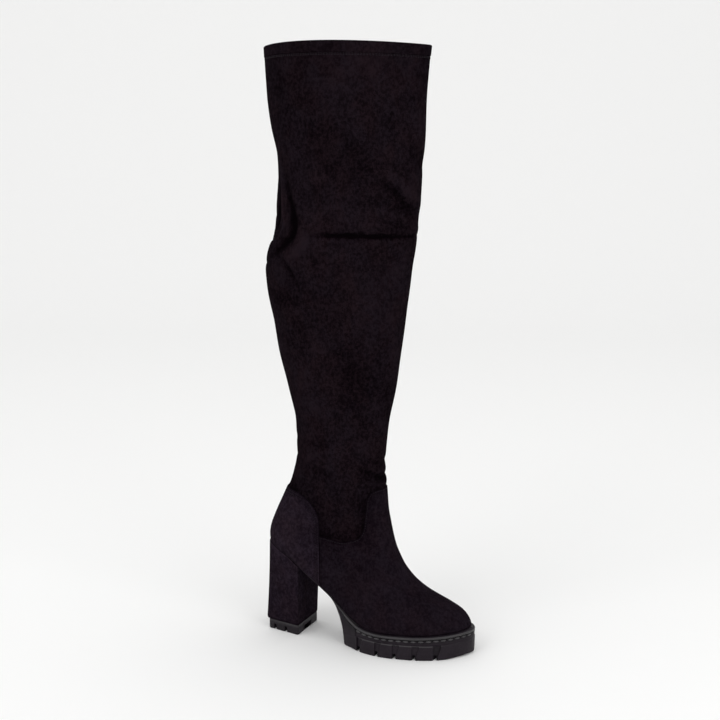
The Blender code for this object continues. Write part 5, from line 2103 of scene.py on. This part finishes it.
@dataclass
class Boot:
    """The dressed boot: builds every sub-assembly on one last."""

    last: Last = field(default_factory=Last)

    def build(self) -> None:
        """Builds each piece, lets it ride and reports it."""
        finishes = Wardrobe.make()
        skin = Skin(self.last)
        stitcher = Stitcher()
        shaft = Shaft(skin, finishes)
        vamp = Panel("dressed_vamp", Side.TOE, THROAT_EDGE, skin, self.last)
        settle(vamp.build(finishes.panel), "vamp", slot="panel_microsuede")
        # The counter wears the lighter heel cover finish, painted light, as it catches more light than the vamp.
        counter = Panel("dressed_counter", Side.HEEL, COUNTER_EDGE, skin, self.last,
                        stitch_rows=(0.0022, 0.0048), columns=90, rows=40)
        settle(counter.build(finishes.cover), "counter", slot="panel_microsuede")
        settle(shaft.build(), "upper", slot="shaft_microsuede")
        platform = Platform(self.last, finishes)
        settle(platform.build(), "outsole", slot="sole_rubber")
        settle(platform.bead(), "welt", slot="sole_rubber")
        heel = Heel(self.last, finishes)
        settle(heel.block(), "heel", slot="panel_microsuede")
        settle(heel.tip(), "heel_top_piece", slot="sole_rubber")
        hem_rows = [shaft.hem_line(0.0124, -0.0001), shaft.hem_line(0.0136, 0.0)]
        hem = stitcher.sew("hem_stitches", hem_rows, finishes.thread, 0.0030, 0.0023, 0.0008, 0.00055)
        settle(hem, slot="shaft_microsuede")
        lines = [vamp.stitch_line(0.0016)] + [counter.stitch_line(inset) for inset in (0.0022, 0.0048)]
        rows = stitcher.sew("panel_stitches", lines, finishes.thread, 0.0027, 0.0021, 0.00055, 0.0005)
        settle(rows, slot="panel_microsuede")
        dashes = stitcher.sew("moulded_dashes", [platform.dash_line()], finishes.dash, 0.0080, 0.0060, 0.0021,
                              0.0020, 0.0)
        settle(dashes, slot="sole_rubber")
        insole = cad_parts["insole"]
        insole.data.materials.clear()
        insole.data.materials.append(finishes.knit)
        log.info("insole: the packed solid, with its knitted lining")


@dataclass(frozen=True)
class Studio:
    """A pale floor that curves up behind the boot, soft lamps and the camera of the photograph."""

    camera_place: tuple[float, float, float] = (0.6532, -1.2756, 0.5744)
    camera_pitch: float = 79.46
    camera_turn: float = 24.0
    lens: float = 66.09
    sensor: float = 36.0
    floor_half: float = 30.0
    floor_near: float = 12.0
    floor_far: float = 3.2
    wall_height: float = 4.0
    bend: float = 1.2
    aim: tuple[float, float, float] = (0.07, 0.0, 0.3)
    surroundings: float = 0.86
    lamps: tuple[Lamp, ...] = (Lamp("key_lamp", (-0.7, -1.9, 1.8), 1.5, 10.0),
                               Lamp("side_lamp", (1.9, -0.9, 1.3), 1.3, 8.0),
                               Lamp("top_lamp", (0.1, 0.1, 2.6), 1.8, 3.0))

    def floor(self) -> None:
        """Makes the sweep of paper: a floor with a rounded rise to a wall."""
        run = [(-self.floor_near, 0.0), (0.0, 0.0), (self.floor_far - self.bend, 0.0)]
        run += [(self.floor_far - self.bend + self.bend * math.sin(a), self.bend * (1 - math.cos(a)))
                for a in np.linspace(0, math.pi / 2, 24)[1:]]
        run.append((self.floor_far, self.wall_height))
        turn = math.radians(self.camera_turn)
        points = []
        for away, z in run:
            for across in (-self.floor_half, self.floor_half):
                points.append((across * math.cos(turn) - away * math.sin(turn),
                               across * math.sin(turn) + away * math.cos(turn), z))
        faces = [(2 * k, 2 * k + 1, 2 * k + 3, 2 * k + 2) for k in range(len(run) - 1)]
        make_object("studio_floor", np.array(points), faces, StudioPaper().material(), None, 60)

    def lamp(self, lamp: Lamp) -> None:
        """Adds a soft square lamp that faces the boot.

        Args:
            lamp: The lamp.
        """
        data = bpy.data.lights.new(lamp.name, "AREA")
        data.shape = "SQUARE"
        data.size = lamp.size
        data.energy = lamp.power
        made = bpy.data.objects.new(lamp.name, data)
        bpy.context.scene.collection.objects.link(made)
        towards = np.array(self.aim) - np.array(lamp.place)
        made.location = lamp.place
        flat = math.hypot(towards[0], towards[1])
        made.rotation_euler = (math.atan2(flat, -towards[2]), 0.0, math.atan2(-towards[0], towards[1]))

    def light(self) -> None:
        """Adds the lamps and the pale surroundings."""
        world = bpy.data.worlds.new("studio")
        world.use_nodes = True
        background = world.node_tree.nodes["Background"]
        background.inputs["Color"].default_value = (1.0, 1.0, 1.0, 1.0)
        background.inputs["Strength"].default_value = self.surroundings
        bpy.context.scene.world = world
        bpy.context.scene.view_settings.view_transform = "Standard"
        for lamp in self.lamps:
            self.lamp(lamp)

    def camera(self) -> None:
        """Adds the camera."""
        data = bpy.data.cameras.new("photo_camera")
        data.lens = self.lens
        data.sensor_width = self.sensor
        made = bpy.data.objects.new("photo_camera", data)
        made.location = self.camera_place
        made.rotation_euler = (math.radians(self.camera_pitch), 0.0, math.radians(self.camera_turn))
        bpy.context.scene.collection.objects.link(made)
        bpy.context.scene.camera = made

    def build(self) -> None:
        """Sets up the whole studio."""
        self.floor()
        self.light()
        self.camera()


def main() -> None:
    """Builds the boot and its studio."""
    logging.basicConfig(level=logging.INFO, format="%(name)s: %(message)s")
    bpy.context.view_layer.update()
    Boot().build()
    Studio().build()


if __name__ == "__main__":
    main()
